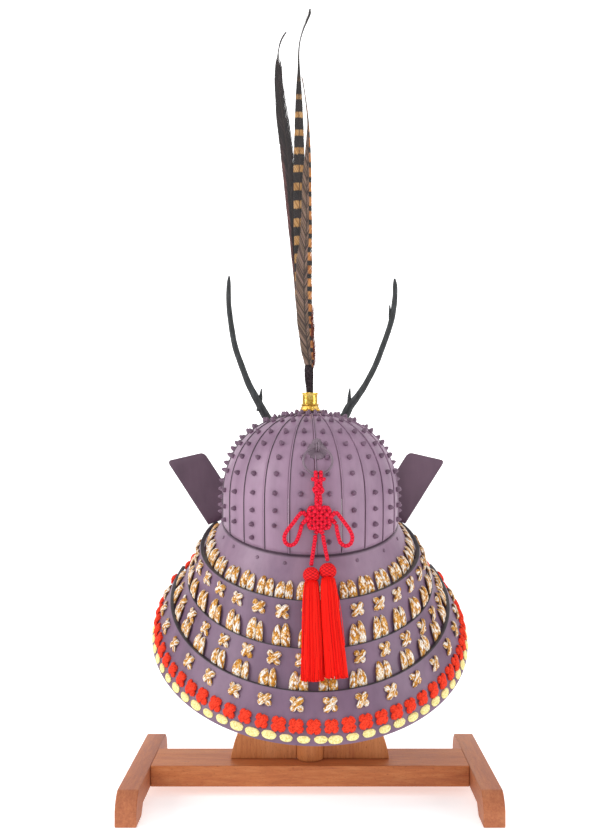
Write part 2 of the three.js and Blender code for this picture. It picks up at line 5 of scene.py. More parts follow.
import bpy
import numpy as np
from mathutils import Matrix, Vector


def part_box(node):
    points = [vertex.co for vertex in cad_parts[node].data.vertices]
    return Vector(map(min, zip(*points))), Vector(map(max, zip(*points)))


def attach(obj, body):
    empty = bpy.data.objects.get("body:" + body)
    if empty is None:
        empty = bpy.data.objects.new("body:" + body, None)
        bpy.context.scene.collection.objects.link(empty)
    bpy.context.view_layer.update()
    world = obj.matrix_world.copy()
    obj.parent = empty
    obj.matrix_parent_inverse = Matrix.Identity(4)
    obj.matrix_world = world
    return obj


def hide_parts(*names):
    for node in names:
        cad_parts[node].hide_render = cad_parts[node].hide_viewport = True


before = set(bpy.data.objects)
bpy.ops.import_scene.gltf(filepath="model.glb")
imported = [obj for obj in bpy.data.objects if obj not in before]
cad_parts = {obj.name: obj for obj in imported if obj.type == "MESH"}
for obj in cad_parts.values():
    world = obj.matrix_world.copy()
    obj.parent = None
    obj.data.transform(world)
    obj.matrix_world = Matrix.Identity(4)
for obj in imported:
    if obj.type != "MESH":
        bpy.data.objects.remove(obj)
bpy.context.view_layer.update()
scene = bpy.context.scene
mm = 0.001
deg = math.pi / 180
helmetTurn = 3 * deg  # how far the helmet is turned on its stand
ringLow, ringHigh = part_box("crown_ring")
axisX, axisY = (ringLow.x + ringHigh.x) / 2 / mm, (ringLow.y + ringHigh.y) / 2 / mm
print("frame loaded")


# --- small tools

# Helmet millimetres to metres in the object's frame: turned about the upright axis, then moved to it
def place(points):
    x, y, z = points[..., 0], points[..., 1], points[..., 2]
    c, s = math.cos(helmetTurn), math.sin(helmetTurn)
    return np.stack([x * c - y * s + axisX, x * s + y * c + axisY, z], -1) * mm


def unit(v):
    return v / np.maximum(np.linalg.norm(v, axis=-1, keepdims=True), 1e-9)


def mix(a, b, t):
    return a + (b - a) * t


# A smooth line through the given points, in even steps of its length. Each stretch is a cubic whose
# end slopes come from its neighbours; further columns, such as a width, go with the line.
def smoothLine(points, count):
    p = np.asarray(points, float)
    knots = np.concatenate([[0], np.cumsum(np.linalg.norm(np.diff(p[:, :3], axis=0), axis=1) ** 0.5)])
    slope = np.gradient(p, knots, axis=0)
    fine = np.linspace(0, knots[-1], 24 * len(p))
    k = np.clip(np.searchsorted(knots, fine, side="right") - 1, 0, len(p) - 2)
    h = (knots[k + 1] - knots[k])[:, None]
    u = (fine - knots[k])[:, None] / h
    line = ((2 * u**3 - 3 * u**2 + 1) * p[k] + (u**3 - 2 * u**2 + u) * h * slope[k]
            + (3 * u**2 - 2 * u**3) * p[k + 1] + (u**3 - u**2) * h * slope[k + 1])
    run = np.concatenate([[0], np.cumsum(np.linalg.norm(np.diff(line[:, :3], axis=0), axis=1))])
    even = np.linspace(0, run[-1], count)
    return np.stack([np.interp(even, run, line[:, i]) for i in range(p.shape[1])], -1)


def lineLength(line):
    return float(np.linalg.norm(np.diff(line[:, :3], axis=0), axis=1).sum())


# Rings round lines: a ring's point is its centre + side * cos * wide/2 + lift * sin * thick/2, where
# side is square to the line and to the given direction, and lift is square to both.
def rings(line, wide, thick=None, sides=12, square=(0, 1, 0), start=-0.25, closed=False):
    wide = np.asarray(wide, float)
    thick = wide if thick is None else np.asarray(thick, float)
    if closed:
        along = unit(np.roll(line, -1, -2) - np.roll(line, 1, -2))
    else:
        along = unit(np.gradient(line, axis=-2))
    side = unit(np.cross(np.asarray(square, float), along))
    lift = np.cross(along, side)
    turn = 2 * np.pi * (np.arange(sides) / sides + start)
    wide = np.broadcast_to(wide[..., None] if wide.ndim < line.ndim else wide, line.shape[:-1] + (sides,))
    thick = thick[..., None] if thick.ndim < line.ndim else thick
    thick = np.broadcast_to(thick, line.shape[:-1] + (sides,))
    return (line[..., None, :] + side[..., None, :] * (np.cos(turn) * wide / 2)[..., None]
            + lift[..., None, :] * (np.sin(turn) * thick / 2)[..., None])


# Rings about the upright axis from radii and heights, with an optional relief added to the radius
def lathe(profile, sides, relief=0.0, stretch=(1, 1), centre=(0, 0)):
    profile = np.asarray(profile, float)
    turn = 2 * np.pi * np.arange(sides) / sides
    radius = profile[:, :1] + relief
    height = np.broadcast_to(profile[:, 1:2], radius.shape if np.ndim(radius) > 1 else (len(profile), 1))
    radius, height = np.broadcast_arrays(radius + 0 * turn, height + 0 * turn)
    return np.stack([centre[0] + radius * np.cos(turn) * stretch[0],
                     centre[1] + radius * np.sin(turn) * stretch[1], height], -1)


# A path's own corners with points between them, no further apart than about the step
def densify(points, step):
    p = np.asarray(points, float)
    run = np.concatenate([[0], np.cumsum(np.linalg.norm(np.diff(p, axis=0), axis=1))])
    count = max(int(run[-1] / step), 2)
    at = np.unique(np.concatenate([np.linspace(0, run[-1], count), run]))
    return np.stack([np.interp(at, run, p[:, i]) for i in range(p.shape[1])], -1)


# Faces over one grid of points, or over many like it: points are (copies, rows, columns, 3)
def skin(points, wrap=False, loop=False, caps=False, uv=None, tone=None):
    rows, columns = points.shape[-3:-1]
    flat = points.reshape(-1, rows * columns, 3)
    i, j = np.meshgrid(np.arange(rows if loop else rows - 1),
                       np.arange(columns if wrap else columns - 1), indexing="ij")
    cornerRow = np.stack([i, i + 1, i + 1, i], -1).reshape(-1, 4)
    cornerColumn = np.stack([j, j, j + 1, j + 1], -1).reshape(-1, 4)
    first = (np.arange(len(flat)) * rows * columns)[:, None, None]
    groups = [(cornerRow, cornerColumn)]
    if caps:
        ring = np.arange(columns)
        groups.append((np.zeros((1, columns), int), ring[None]))
        groups.append((np.full((1, columns), rows - 1), ring[None, ::-1]))
    if uv is None:
        v, u = np.meshgrid(np.linspace(0, 1, rows + loop), np.linspace(0, 1, columns + wrap), indexing="ij")
        uv = np.stack([u, v], -1)
    made = {"points": flat.reshape(-1, 3), "faces": [], "uv": [], "tone": []}
    for r, c in groups:
        index = (r % rows) * columns + c % columns
        made["faces"].append((index[None] + first).reshape(-1, index.shape[1]))
        for key, values in (("uv", uv), ("tone", tone)):
            if values is not None:
                values = np.broadcast_to(values, (len(flat),) + values.shape[-3:])
                made[key].append(values[:, r, c].reshape(-1, 2))
    return made


# A straight-sided solid: the outline's points at each of the given depths
def prism(outline, depths, across, up, along):
    outline = np.asarray(outline, float)
    across, up, along = (np.asarray(v, float) for v in (across, up, along))
    face = outline[:, :1] * across + outline[:, 1:] * up
    return skin(face[None] + np.asarray(depths, float)[:, None, None] * along, wrap=True, caps=True)


# One object from skins. Its faces are turned to point away from the middle it is given, or out of
# a closed shape, by the sign of the volume they sweep.
def makePiece(name, skins, material, replaced=(), middle=None, sharp=None):
    points = np.concatenate([s["points"] for s in skins])
    starts = np.cumsum([0] + [len(s["points"]) for s in skins])
    faces, uvs, tones = [], [], []
    for s, start in zip(skins, starts):
        centre = s["points"].mean(0) if middle is None else np.asarray(middle, float)
        swept = 0.0
        for f in s["faces"]:
            p = s["points"][f] - centre
            for k in range(1, f.shape[1] - 1):
                swept += np.einsum("ij,ij->i", p[:, 0], np.cross(p[:, k], p[:, k + 1])).sum()
        turn = -1 if swept < 0 else 1
        for n, f in enumerate(s["faces"]):
            faces.append(f[:, ::turn] + start)
            uvs.append(s["uv"][n].reshape(len(f), -1, 2)[:, ::turn].reshape(-1, 2))
            if s["tone"]:
                tones.append(s["tone"][n].reshape(len(f), -1, 2)[:, ::turn].reshape(-1, 2))
    corners = np.concatenate([f.ravel() for f in faces])
    sizes = np.concatenate([np.full(len(f), f.shape[1]) for f in faces])
    mesh = bpy.data.meshes.new(name)
    mesh.vertices.add(len(points))
    mesh.vertices.foreach_set("co", points.ravel())
    mesh.loops.add(len(corners))
    mesh.loops.foreach_set("vertex_index", corners)
    mesh.polygons.add(len(sizes))
    mesh.polygons.foreach_set("loop_start", np.concatenate([[0], np.cumsum(sizes)[:-1]]))
    mesh.update(calc_edges=True)
    mesh.uv_layers.new(name="surface").data.foreach_set("uv", np.concatenate(uvs).ravel())
    if tones:
        mesh.uv_layers.new(name="tone").data.foreach_set("uv", np.concatenate(tones).ravel())
    mesh.polygons.foreach_set("use_smooth", np.ones(len(sizes), bool))
    if sharp:
        mesh.set_sharp_from_angle(angle=sharp * deg)
    mesh.materials.append(material)
    piece = bpy.data.objects.new(name, mesh)
    scene.collection.objects.link(piece)
    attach(piece, "root")
    if replaced:
        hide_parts(*([replaced] if isinstance(replaced, str) else replaced))
    return piece


def addWall(piece, thickness):
    wall = piece.modifiers.new("wall", "SOLIDIFY")
    wall.thickness, wall.offset, wall.use_even_offset = thickness * mm, -1, True
    return piece


def addBevel(piece, width, segments=2, angle=35):
    bevel = piece.modifiers.new("edges", "BEVEL")
    bevel.width, bevel.segments, bevel.limit_method = width * mm, segments, "ANGLE"
    bevel.angle_limit = angle * deg
    return piece


# --- materials

def colour(code):
    parts = np.array([int(code[i:i + 2], 16) / 255 for i in (1, 3, 5)])
    linear = np.where(parts <= 0.04045, parts / 12.92, ((parts + 0.055) / 1.055) ** 2.4)
    return (*linear, 1.0)


# One node: its settings, then each input as a fixed value or another node's output
def addNode(tree, kind, settings=None, inputs=None):
    node = tree.nodes.new("ShaderNode" + kind)
    for key, value in (settings or {}).items():
        setattr(node, key, value)
    for key, value in (inputs or {}).items():
        if isinstance(value, bpy.types.NodeSocket):
            tree.links.new(value, node.inputs[key])
        else:
            node.inputs[key].default_value = value
    return node


def math2(tree, operation, a, b=0.0, c=0.0):
    return addNode(tree, "Math", {"operation": operation}, {0: a, 1: b, 2: c}).outputs[0]


def blend(tree, share, a, b, kind="MIX"):
    return addNode(tree, "MixRGB", {"blend_type": kind}, {0: share, 1: a, 2: b}).outputs[0]


def ramp(tree, value, stops, smooth=True):
    node = addNode(tree, "ValToRGB", None, {0: value})
    node.color_ramp.interpolation = "LINEAR" if smooth else "CONSTANT"
    while len(node.color_ramp.elements) < len(stops):
        node.color_ramp.elements.new(0.5)
    for element, (at, shade) in zip(node.color_ramp.elements, stops):
        element.position = at
        element.color = colour(shade) if isinstance(shade, str) else (shade, shade, shade, 1)
    return node.outputs[0]


def newMaterial(name):
    material = bpy.data.materials.new(name)
    material.use_nodes = True
    tree = material.node_tree
    tree.nodes.clear()
    shader = addNode(tree, "BsdfPrincipled")
    out = addNode(tree, "OutputMaterial")
    tree.links.new(shader.outputs[0], out.inputs[0])
    return material, tree, shader


def noise(tree, where, scale, detail=3.0, rough=0.55, stretch=None, dimensions="3D"):
    if stretch is not None:
        where = addNode(tree, "Mapping", None, {0: where, 3: stretch}).outputs[0]
    return addNode(tree, "TexNoise", {"noise_dimensions": dimensions},
                   {"Vector": where, "Scale": scale, "Detail": detail, "Roughness": rough}).outputs[0]


def bump(tree, shader, height, distance, strength=1.0):
    node = addNode(tree, "Bump", None, {"Height": height, "Strength": strength, "Distance": distance})
    tree.links.new(node.outputs[0], shader.inputs["Normal"])


def objectPlace(tree):
    return addNode(tree, "TexCoord").outputs["Object"]


# A surface's own two coordinates: together, then each alone
def surfaceMap(tree, name="surface"):
    node = addNode(tree, "UVMap", {"uv_map": name})
    parts = addNode(tree, "SeparateXYZ", None, {0: node.outputs[0]})
    return node.outputs[0], parts.outputs[0], parts.outputs[1]


# Iron plates under matte persimmon-tinted lacquer, brushed on: a soft satin skin with faint clouds,
# a fine peel, dark lines of painted shade along each seam, each given by its place and half width in mm, and
# optional painted shade darkening the top edge.
def lacquerMaterial(name, base, dark, light, roughness, paintedSeamShade=(), paintedTopShade=None):
    material, tree, shader = newMaterial(name)
    where = objectPlace(tree)
    clouds = noise(tree, where, 9, 4, 0.6)  # clouds of about 110 mm
    streaks = noise(tree, where, 60, 3, 0.6, (1, 1, 0.12))  # brush marks of about 15 mm, run upright
    shade = ramp(tree, clouds, [(0.3, dark), (0.5, base), (0.72, light)])
    shade = blend(tree, 0.35, shade, ramp(tree, streaks, [(0.3, dark), (0.7, light)]))
    worn = noise(tree, where, 420, 4, 0.7)  # specks of about 2 mm
    shade = blend(tree, ramp(tree, worn, [(0.62, 0.0), (0.8, 0.35)]), shade, colour(light))
    u, v = surfaceMap(tree)[1:]
    # Painted shade: each seam gets a dark line, standing in for the shade beside the plate's rib
    for at, half, depth in paintedSeamShade:  # u runs in centimetres across the plate
        off = math2(tree, "ABSOLUTE", math2(tree, "SUBTRACT", u, at / 10))
        line = math2(tree, "MULTIPLY", math2(tree, "LESS_THAN", off, half / 10), depth)
        shade = blend(tree, line, shade, colour("#241a22"))
    # Painted shade: the colour darkens toward the top edge, standing in for the shade on a lip or under the
    # rim above
    if paintedTopShade:  # v runs in centimetres down from the top edge
        edge = addNode(tree, "MapRange", {"interpolation_type": "SMOOTHSTEP"},
                       {0: v, 1: paintedTopShade[0] / 10, 2: paintedTopShade[1] / 10, 3: paintedTopShade[2], 4: 0.0}).outputs[0]
        shade = blend(tree, edge, shade, colour("#1c1419"))
    tree.links.new(shade, shader.inputs["Base Color"])
    tree.links.new(ramp(tree, noise(tree, where, 35, 3), [(0.3, roughness - 0.06), (0.7, roughness + 0.08)]),
                   shader.inputs["Roughness"])
    shader.inputs["IOR"].default_value = 1.5
    shader.inputs["Specular IOR Level"].default_value = 0.5
    shader.inputs["Coat Weight"].default_value = 0.15
    shader.inputs["Coat Roughness"].default_value = 0.4
    bump(tree, shader, noise(tree, where, 900, 2), 0.00006, 0.5)  # peel of about 1 mm
    return material


# Gilt brass, polished and a little rubbed; the base is punched all over with small round dents
def giltMaterial(name, punched):
    material, tree, shader = newMaterial(name)
    where = objectPlace(tree)
    rubbed = noise(tree, where, 180, 4, 0.65)
    shade = ramp(tree, rubbed, [(0.3, "#c08a2e"), (0.5, "#e6bd58"), (0.7, "#f6dc8c")])
    if punched:
        dents = addNode(tree, "TexVoronoi", None, {"Vector": where, "Scale": 620}).outputs[0]
        shade = blend(tree, ramp(tree, dents, [(0.1, 0.75), (0.5, 0.0)]), shade, colour("#8a4f1c"))
        bump(tree, shader, dents, 0.0006, 0.8)
    else:
        bump(tree, shader, noise(tree, where, 300, 2), 0.0002, 0.35)
    tree.links.new(shade, shader.inputs["Base Color"])
    shader.inputs["Metallic"].default_value = 1.0
    shader.inputs["Roughness"].default_value = 0.34 if punched else 0.26
    return material


# Braided cord: two families of strands cross on the slant. The strands are numbered by a and b, and
# the share of light is the product of their sines' sizes: high on a strand, low in the grooves.
def braidCells(tree, around, pitch):
    uv, u, v = surfaceMap(tree)
    slant = math2(tree, "MULTIPLY", u, around)
    climb = math2(tree, "MULTIPLY", v, pitch)
    a, b = math2(tree, "ADD", slant, climb), math2(tree, "SUBTRACT", slant, climb)
    swellA, swellB = (math2(tree, "ABSOLUTE", math2(tree, "SINE", math2(tree, "MULTIPLY", strand, math.pi)))
                      for strand in (a, b))
    return uv, u, a, b, math2(tree, "MULTIPLY", swellA, swellB)


# Silk braid in one colour, dyed: soft sheen, with painted shade darkening the grooves between strands and
# painted highlight on the strands' crowns
def silkBraid(name, around, pitch, bright, base, deep, relief=0.0004):
    material, tree, shader = newMaterial(name)
    swell = braidCells(tree, around, pitch)[-1]
    # Painted light: deep colour in the grooves, bright colour on the crowns of the strands
    shade = ramp(tree, swell, [(0.0, deep), (0.3, base), (0.9, bright)])
    fibres = noise(tree, objectPlace(tree), 1600, 2)
    shade = blend(tree, 0.3, shade, ramp(tree, fibres, [(0.35, deep), (0.65, bright)]))
    tree.links.new(shade, shader.inputs["Base Color"])
    shader.inputs["Roughness"].default_value = 0.6
    shader.inputs["Specular IOR Level"].default_value = 0.12
    bump(tree, shader, swell, relief, 0.9)
    return material


# Flat braid of white, gold and tan silk: narrow cells crossing on a steep slant, each its own colour,
# run together into streaks, with painted brown shade where strands dive and down both flanks
def lacingBraid(name):
    material, tree, shader = newMaterial(name)
    uv, u, a, b, swell = braidCells(tree, 9.0, 1.7)
    cell = addNode(tree, "CombineXYZ", None, {0: math2(tree, "FLOOR", a), 1: math2(tree, "FLOOR", b)})
    pick = addNode(tree, "TexWhiteNoise", {"noise_dimensions": "2D"}, {"Vector": cell.outputs[0]})
    pick = pick.outputs[0]
    streak = noise(tree, uv, 3.2, 3, 0.6, (3.4, 1.3, 1))
    pick = math2(tree, "ADD", math2(tree, "MULTIPLY", pick, 0.34), math2(tree, "MULTIPLY", streak, 0.72))
    shade = ramp(tree, pick, [(0.3, "#8a5326"), (0.4, "#cf8a2c"), (0.5, "#e3a648"), (0.55, "#f3dcbc"),
                              (0.66, "#fdf6ee")])
    # Painted shade: brown where strands dive into the grooves, then brown down both flanks of the braid
    shade = blend(tree, ramp(tree, swell, [(0.0, 0.55), (0.3, 0.0)]), shade, colour("#7c4c26"))
    paintedFlankShade = math2(tree, "ABSOLUTE", math2(tree, "SUBTRACT", math2(tree, "FRACT", u), 0.5))
    shade = blend(tree, ramp(tree, paintedFlankShade, [(0.15, 0.0), (0.25, 0.8)]), shade, colour("#6b4122"))
    tree.links.new(shade, shader.inputs["Base Color"])
    shader.inputs["Roughness"].default_value = 0.6
    shader.inputs["Specular IOR Level"].default_value = 0.2
    bump(tree, shader, swell, 0.0006, 0.9)
    return material


# Stitches of soft thick thread in one colour, with a felted grain
def threadMaterial(name, bright, base, deep):
    material, tree, shader = newMaterial(name)
    where = objectPlace(tree)
    grain = noise(tree, where, 520, 3, 0.6)  # threads of about 1 mm, drawn a little coarse
    shade = ramp(tree, grain, [(0.3, deep), (0.5, base), (0.72, bright)])
    tree.links.new(shade, shader.inputs["Base Color"])
    shader.inputs["Roughness"].default_value = 0.75
    shader.inputs["Specular IOR Level"].default_value = 0.15
    bump(tree, shader, grain, 0.0006, 0.7)
    return material


# Loose dyed silk strands: bright on top and deep red between, the deep red being painted shade; each strand's
# random tone also picks its place
def strandMaterial(name, bright, base, deep):
    material, tree, shader = newMaterial(name)
    # Painted light: tone from deep red as painted shade to bright as painted highlight
    shade = ramp(tree, surfaceMap(tree, "tone")[1], [(0.0, deep), (0.35, base), (1.0, bright)])
    tree.links.new(shade, shader.inputs["Base Color"])
    shader.inputs["Roughness"].default_value = 0.5
    shader.inputs["Specular IOR Level"].default_value = 0.08
    return material


# Pheasant tail feathers. u runs from the vane's one edge over the quill at 0.5 to the other; v counts
# its bars. tone holds one random value and the bar count where the barb leaves the quill.
def featherMaterial(name, kind):
    material, tree, shader = newMaterial(name)
    u, v = surfaceMap(tree)[1:]
    barb, root = surfaceMap(tree, "tone")[1:]
    phase = math2(tree, "ABSOLUTE", math2(tree, "SUBTRACT", math2(tree, "FRACT", v), 0.5))  # 0.5 at a count
    rootPhase = math2(tree, "ABSOLUTE", math2(tree, "SUBTRACT", math2(tree, "FRACT", root), 0.5))
    if kind == "dark":
        plain = ramp(tree, barb, [(0.0, "#0e0a0b"), (0.6, "#1f1617"), (1.0, "#322426")])
        ruddy = ramp(tree, barb, [(0.0, "#3c2022"), (0.5, "#5e3838"), (1.0, "#7c524e")])
        shade = blend(tree, ramp(tree, u, [(0.72, 0.0), (0.84, 1.0)]), plain, ruddy)
        high = addNode(tree, "MapRange", None, {0: v, 1: 6.6, 2: 8.4, 3: 1.0, 4: 0.0}).outputs[0]
        shade = blend(tree, high, plain, shade)
    elif kind == "barred":
        gold = ramp(tree, barb, [(0.0, "#8f6232"), (0.5, "#ab7c44"), (1.0, "#c9a06c")])
        black = ramp(tree, barb, [(0.0, "#0f0c0d"), (1.0, "#2a2020")])
        wide = addNode(tree, "MapRange", None, {0: v, 1: 6.0, 2: 15.0, 3: 0.24, 4: 0.36}).outputs[0]
        bar = math2(tree, "LESS_THAN", phase, wide)
        thin = addNode(tree, "MapRange", None, {0: v, 1: 14.3, 2: 16.2, 3: 0.0, 4: 1.0}).outputs[0]
        shade = blend(tree, math2(tree, "MAXIMUM", bar, thin), gold, black)
    else:
        brown = ramp(tree, barb, [(0.0, "#4a372c"), (0.45, "#6b5444"), (0.8, "#836a58"), (1.0, "#8f6e66")])
        chevron = ramp(tree, rootPhase, [(0.38, 0.0), (0.44, 0.9)])
        shade = blend(tree, chevron, brown, colour("#2c1a17"))
        orange = ramp(tree, barb, [(0.0, "#94551f"), (0.6, "#b87230"), (1.0, "#cf9450")])
        edge = ramp(tree, u, [(0.2, 1.0), (0.3, 0.0)])
        shade = blend(tree, edge, shade, orange)
        spot = math2(tree, "GREATER_THAN", phase, 0.31)
        near = math2(tree, "MULTIPLY", math2(tree, "LESS_THAN", u, 0.3), spot)
        shade = blend(tree, near, shade, colour("#151112"))
    quill = ramp(tree, math2(tree, "ABSOLUTE", math2(tree, "SUBTRACT", u, 0.5)), [(0.02, 0.7), (0.05, 0.0)])
    shade = blend(tree, quill, shade, colour("#2e2019"))
    tree.links.new(shade, shader.inputs["Base Color"])
    shader.inputs["Roughness"].default_value = 0.6
    shader.inputs["Sheen Weight"].default_value = 0.25
    return material


# Antler shape carved and stained black: matte, a little grey on its high grain
def antlerMaterial():
    material, tree, shader = newMaterial("stained carved antler")
    where = objectPlace(tree)
    grain = noise(tree, where, 260, 4, 0.65, (1, 1, 0.25))
    shade = ramp(tree, grain, [(0.3, "#17191a"), (0.55, "#2b2e30"), (0.8, "#494d50")])
    tree.links.new(shade, shader.inputs["Base Color"])
    shader.inputs["Roughness"].default_value = 0.62
    bump(tree, shader, grain, 0.0006, 0.6)
    return material


# Oiled hardwood, sawn and sanded: reddish brown, fine dark pores drawn out along the grain.
# stretch is small along the grain.
def woodMaterial(name, stretch, light, base, dark):
    material, tree, shader = newMaterial(name)
    where = objectPlace(tree)
    broad = noise(tree, where, 26, 4, 0.6, stretch)  # bands of about 40 mm
    fine = noise(tree, where, 330, 4, 0.65, stretch)  # grain lines of about 3 mm
    poreStretch = tuple(s * (2.2 if s < 0.5 else 1) for s in stretch)
    pores = noise(tree, where, 950, 3, 0.6, poreStretch)  # about 1 mm
    shade = ramp(tree, broad, [(0.3, dark), (0.5, base), (0.72, light)])
    shade = blend(tree, 0.45, shade, ramp(tree, fine, [(0.32, dark), (0.5, base), (0.7, light)]))
    shade = blend(tree, ramp(tree, pores, [(0.3, 0.5), (0.42, 0.0)]), shade, colour("#6a3218"))
    tree.links.new(shade, shader.inputs["Base Color"])
    tree.links.new(ramp(tree, fine, [(0.3, 0.5), (0.7, 0.62)]), shader.inputs["Roughness"])
    shader.inputs["Specular IOR Level"].default_value = 0.35
    bump(tree, shader, pores, 0.00025, 0.5)
    return material


# The two dark lines on each plate are painted shade beside its rib
bowlLacquer = lacquerMaterial("matte mauve lacquer on iron", "#8f7088", "#7a5e75", "#a2829a", 0.5,
                              paintedSeamShade=[(0.15, 0.4, 0.9), (2.75, 0.5, 0.85)])
# The flange's darkened top is painted shadow under the bowl's rim; the lames' darkened top is painted shade
# on their lips
flangeLacquer = lacquerMaterial("matte mauve lacquer on the flange", "#87697f", "#735770", "#977a90", 0.52,
                                paintedTopShade=(0.4, 2.6, 0.55))
lameLacquer = lacquerMaterial("matte plum lacquer on the neck guard", "#735770", "#5f465b", "#82647c", 0.5,
                              paintedTopShade=(0.6, 1.3, 0.95))
# Painted shade: the wings get a darker copy of the lacquer for the shade they stand in
wingShadedLacquer = lacquerMaterial("plum lacquer darkened as painted shade on the wings", "#5c4354", "#4b3545", "#6b5062", 0.48)
# Painted shade: studs and rivets get a darker copy of the lacquer for their shading
studShadedLacquer = lacquerMaterial("matte plum lacquer on studs, darkened as painted shade", "#6a4d63", "#573e52", "#7b5d74", 0.5)
ringLacquer = lacquerMaterial("grey-plum lacquer on forged iron", "#6e5a68", "#584654", "#8a7684", 0.45)
polishedGilt = giltMaterial("polished gilt brass", False)
punchedGilt = giltMaterial("punched gilt brass", True)
# In these silks the deep colour is painted shade and the bright colour painted highlight
loopSilk = silkBraid("round braided red silk cord", 2.0, 2.6, "#fa2a48", "#e8142f", "#8c0618")
knitSilk = silkBraid("crocheted red silk", 9.0, 3.4, "#fb2a2c", "#e3131c", "#86050c", 0.0006)
skirtSilk = strandMaterial("loose red silk strands", "#ff2a1c", "#f0120c", "#8c0406")
lacingSilk = lacingBraid("white and gold braided lacing")
redThread = threadMaterial("thick vermilion thread", "#fb4c30", "#e83a22", "#b82412")
creamThread = threadMaterial("thick cream thread", "#fbf5c4", "#efe29a", "#cdb968")
darkFeather = featherMaterial("dark pheasant feather", "dark")
barredFeather = featherMaterial("barred pheasant feather", "barred")
brownFeather = featherMaterial("spotted pheasant feather", "spotted")
antlerStain = antlerMaterial()
beamWood = woodMaterial("oiled hardwood, grain along the beam", (0.12, 1, 1), "#d08a56", "#bb6c3c", "#9c5330")
footWood = woodMaterial("oiled hardwood, grain along the feet", (1, 0.12, 1), "#c98459", "#b26a45", "#965338")
uprightWood = woodMaterial("oiled hardwood, upright grain", (1, 1, 0.1), "#d38d58", "#c07642", "#a25a30")
print("materials made")


# --- camera and light

camera = {"back": 1275, "height": 475, "focal": 40.714, "right": 10 / 840, "down": 14 / 840}
cameraData = bpy.data.cameras.new("camera")
cameraData.sensor_width, cameraData.lens = 36, camera["focal"]
cameraData.shift_x, cameraData.shift_y = -camera["right"], camera["down"]
cameraData.clip_start, cameraData.clip_end = 0.01, 50
cameraObject = bpy.data.objects.new("camera", cameraData)
cameraObject.location = (axisX * mm, (axisY + camera["back"]) * mm, camera["height"] * mm)
cameraObject.rotation_euler = (math.pi / 2, 0, math.pi)
scene.collection.objects.link(cameraObject)
scene.camera = cameraObject


# --- cords of the bow

bow = {"x": -3.4, "knotX": -4.4, "knotZ": 373.7, "y": 128.4, "cord": 4.8, "pitch": 6.3}
cordRoutes = {
    "bow_loop_left": [
        (15.6, 128.4, 381.4), (21, 129, 376), (27, 130, 368), (33.5, 130.4, 360), (37.6, 130.6, 352),
        (36.4, 130.6, 344.4), (31, 130.6, 341), (25, 130.6, 343.4), (21.4, 130.2, 350),
        (18.6, 129.4, 358), (16.8, 128.6, 366)],
    "bow_loop_right": [
        (-24.4, 128.4, 381.4), (-29.6, 129, 375), (-36, 130, 366.5), (-41.8, 130.4, 358),
        (-44.4, 130.6, 350), (-42, 130.6, 342.4), (-36, 130.6, 340), (-30.4, 130.6, 343.4),
        (-27.8, 130.2, 350), (-26, 129.4, 358), (-25, 128.6, 366)],
    "tassel_cord_left": [
        (0.4, 128.4, 353.3), (0.4, 128.4, 350), (2, 129.6, 340), (3.4, 131, 331), (4.8, 134, 323),
        (5.9, 137.6, 317.2)],
    "tassel_cord_right": [
        (-9.2, 128.4, 353.3), (-9.2, 128.4, 350), (-10.8, 129.8, 341), (-12, 131.4, 334),
        (-13.2, 134.2, 328), (-14, 136.8, 322.4)],
}


# A braided tube: its ring swells where two strands cross, so the cord has real relief
def braidTube(line, diameter, sides=16, closed=False, relief=0.22):
    length = lineLength(line)
    rows = np.arange(len(line))[:, None] / (len(line) - 1)
    turn = np.arange(sides)[None] / sides
    turns = round(length / diameter * 1.3)
    swell = np.abs(np.sin(np.pi * (2 * turn + turns * rows)) * np.sin(np.pi * (2 * turn - turns * rows)))
    wide = np.broadcast_to(diameter * (1 - relief / 2 + relief * swell * 0.9), (len(line), sides)).copy()
    if not closed:
        wide[[0, -1]] *= 0.35
    body = rings(line, wide, sides=sides, closed=closed)
    along = np.linspace(0, length / 10, len(line) + closed)
    v, u = np.meshgrid(along, np.linspace(0, 1, sides + 1), indexing="ij")
    return skin(place(body), wrap=True, loop=closed, caps=not closed, uv=np.stack([u, v], -1))


cordPieces = {}
for cordName, route in cordRoutes.items():
    line = smoothLine(route, 90 if "loop" in cordName else 40)
    cordPieces[cordName] = (makePiece(cordName + "_braid", [braidTube(line, bow["cord"])], loopSilk,
                                      cordName), line)
print("cords made", {name: round(lineLength(line), 1) for name, (piece, line) in cordPieces.items()})


# --- bowl

bowl = {"radius": 117, "deep": 1.035, "mid": 387, "dome": 115.5, "full": 2.3, "tuck": 0.5, "wall": 2,
        "plates": 22, "hole": 12, "ribWide": 2.4, "ribHigh": 1.2, "rows": 46}
rimEdge = {"backZ": 328.2, "sideZ": 362}


def edgeLevel(edge, turn):
    return mix(edge["backZ"], edge["sideZ"], 1 - np.cos(turn))


# A superellipse dome over a wall that draws in a little
def bowlRadius(z):
    up = np.clip((z - bowl["mid"]) / bowl["dome"], 0, 0.99999)
    dome = bowl["radius"] * (1 - up ** bowl["full"]) ** (1 / bowl["full"])
    return dome - bowl["tuck"] * (np.clip(bowl["mid"] - z, 0, None) / 40) ** 2


# Height on the bowl at share t from the rim to the crown hole, in even steps of the dome's angle
def bowlHeight(turn, t):
    power = 2 / bowl["full"]
    crown = math.acos((bowl["hole"] / bowl["radius"]) ** (1 / power))
    start = (edgeLevel(rimEdge, turn) - bowl["mid"]) / bowl["dome"]
    first = np.where(start > 0, np.arcsin(np.clip(start, 0, 1) ** (1 / power)), start)
    angle = mix(first, crown, t)
    return bowl["mid"] + bowl["dome"] * np.where(angle > 0, np.sin(np.clip(angle, 0, None)) ** power, angle)


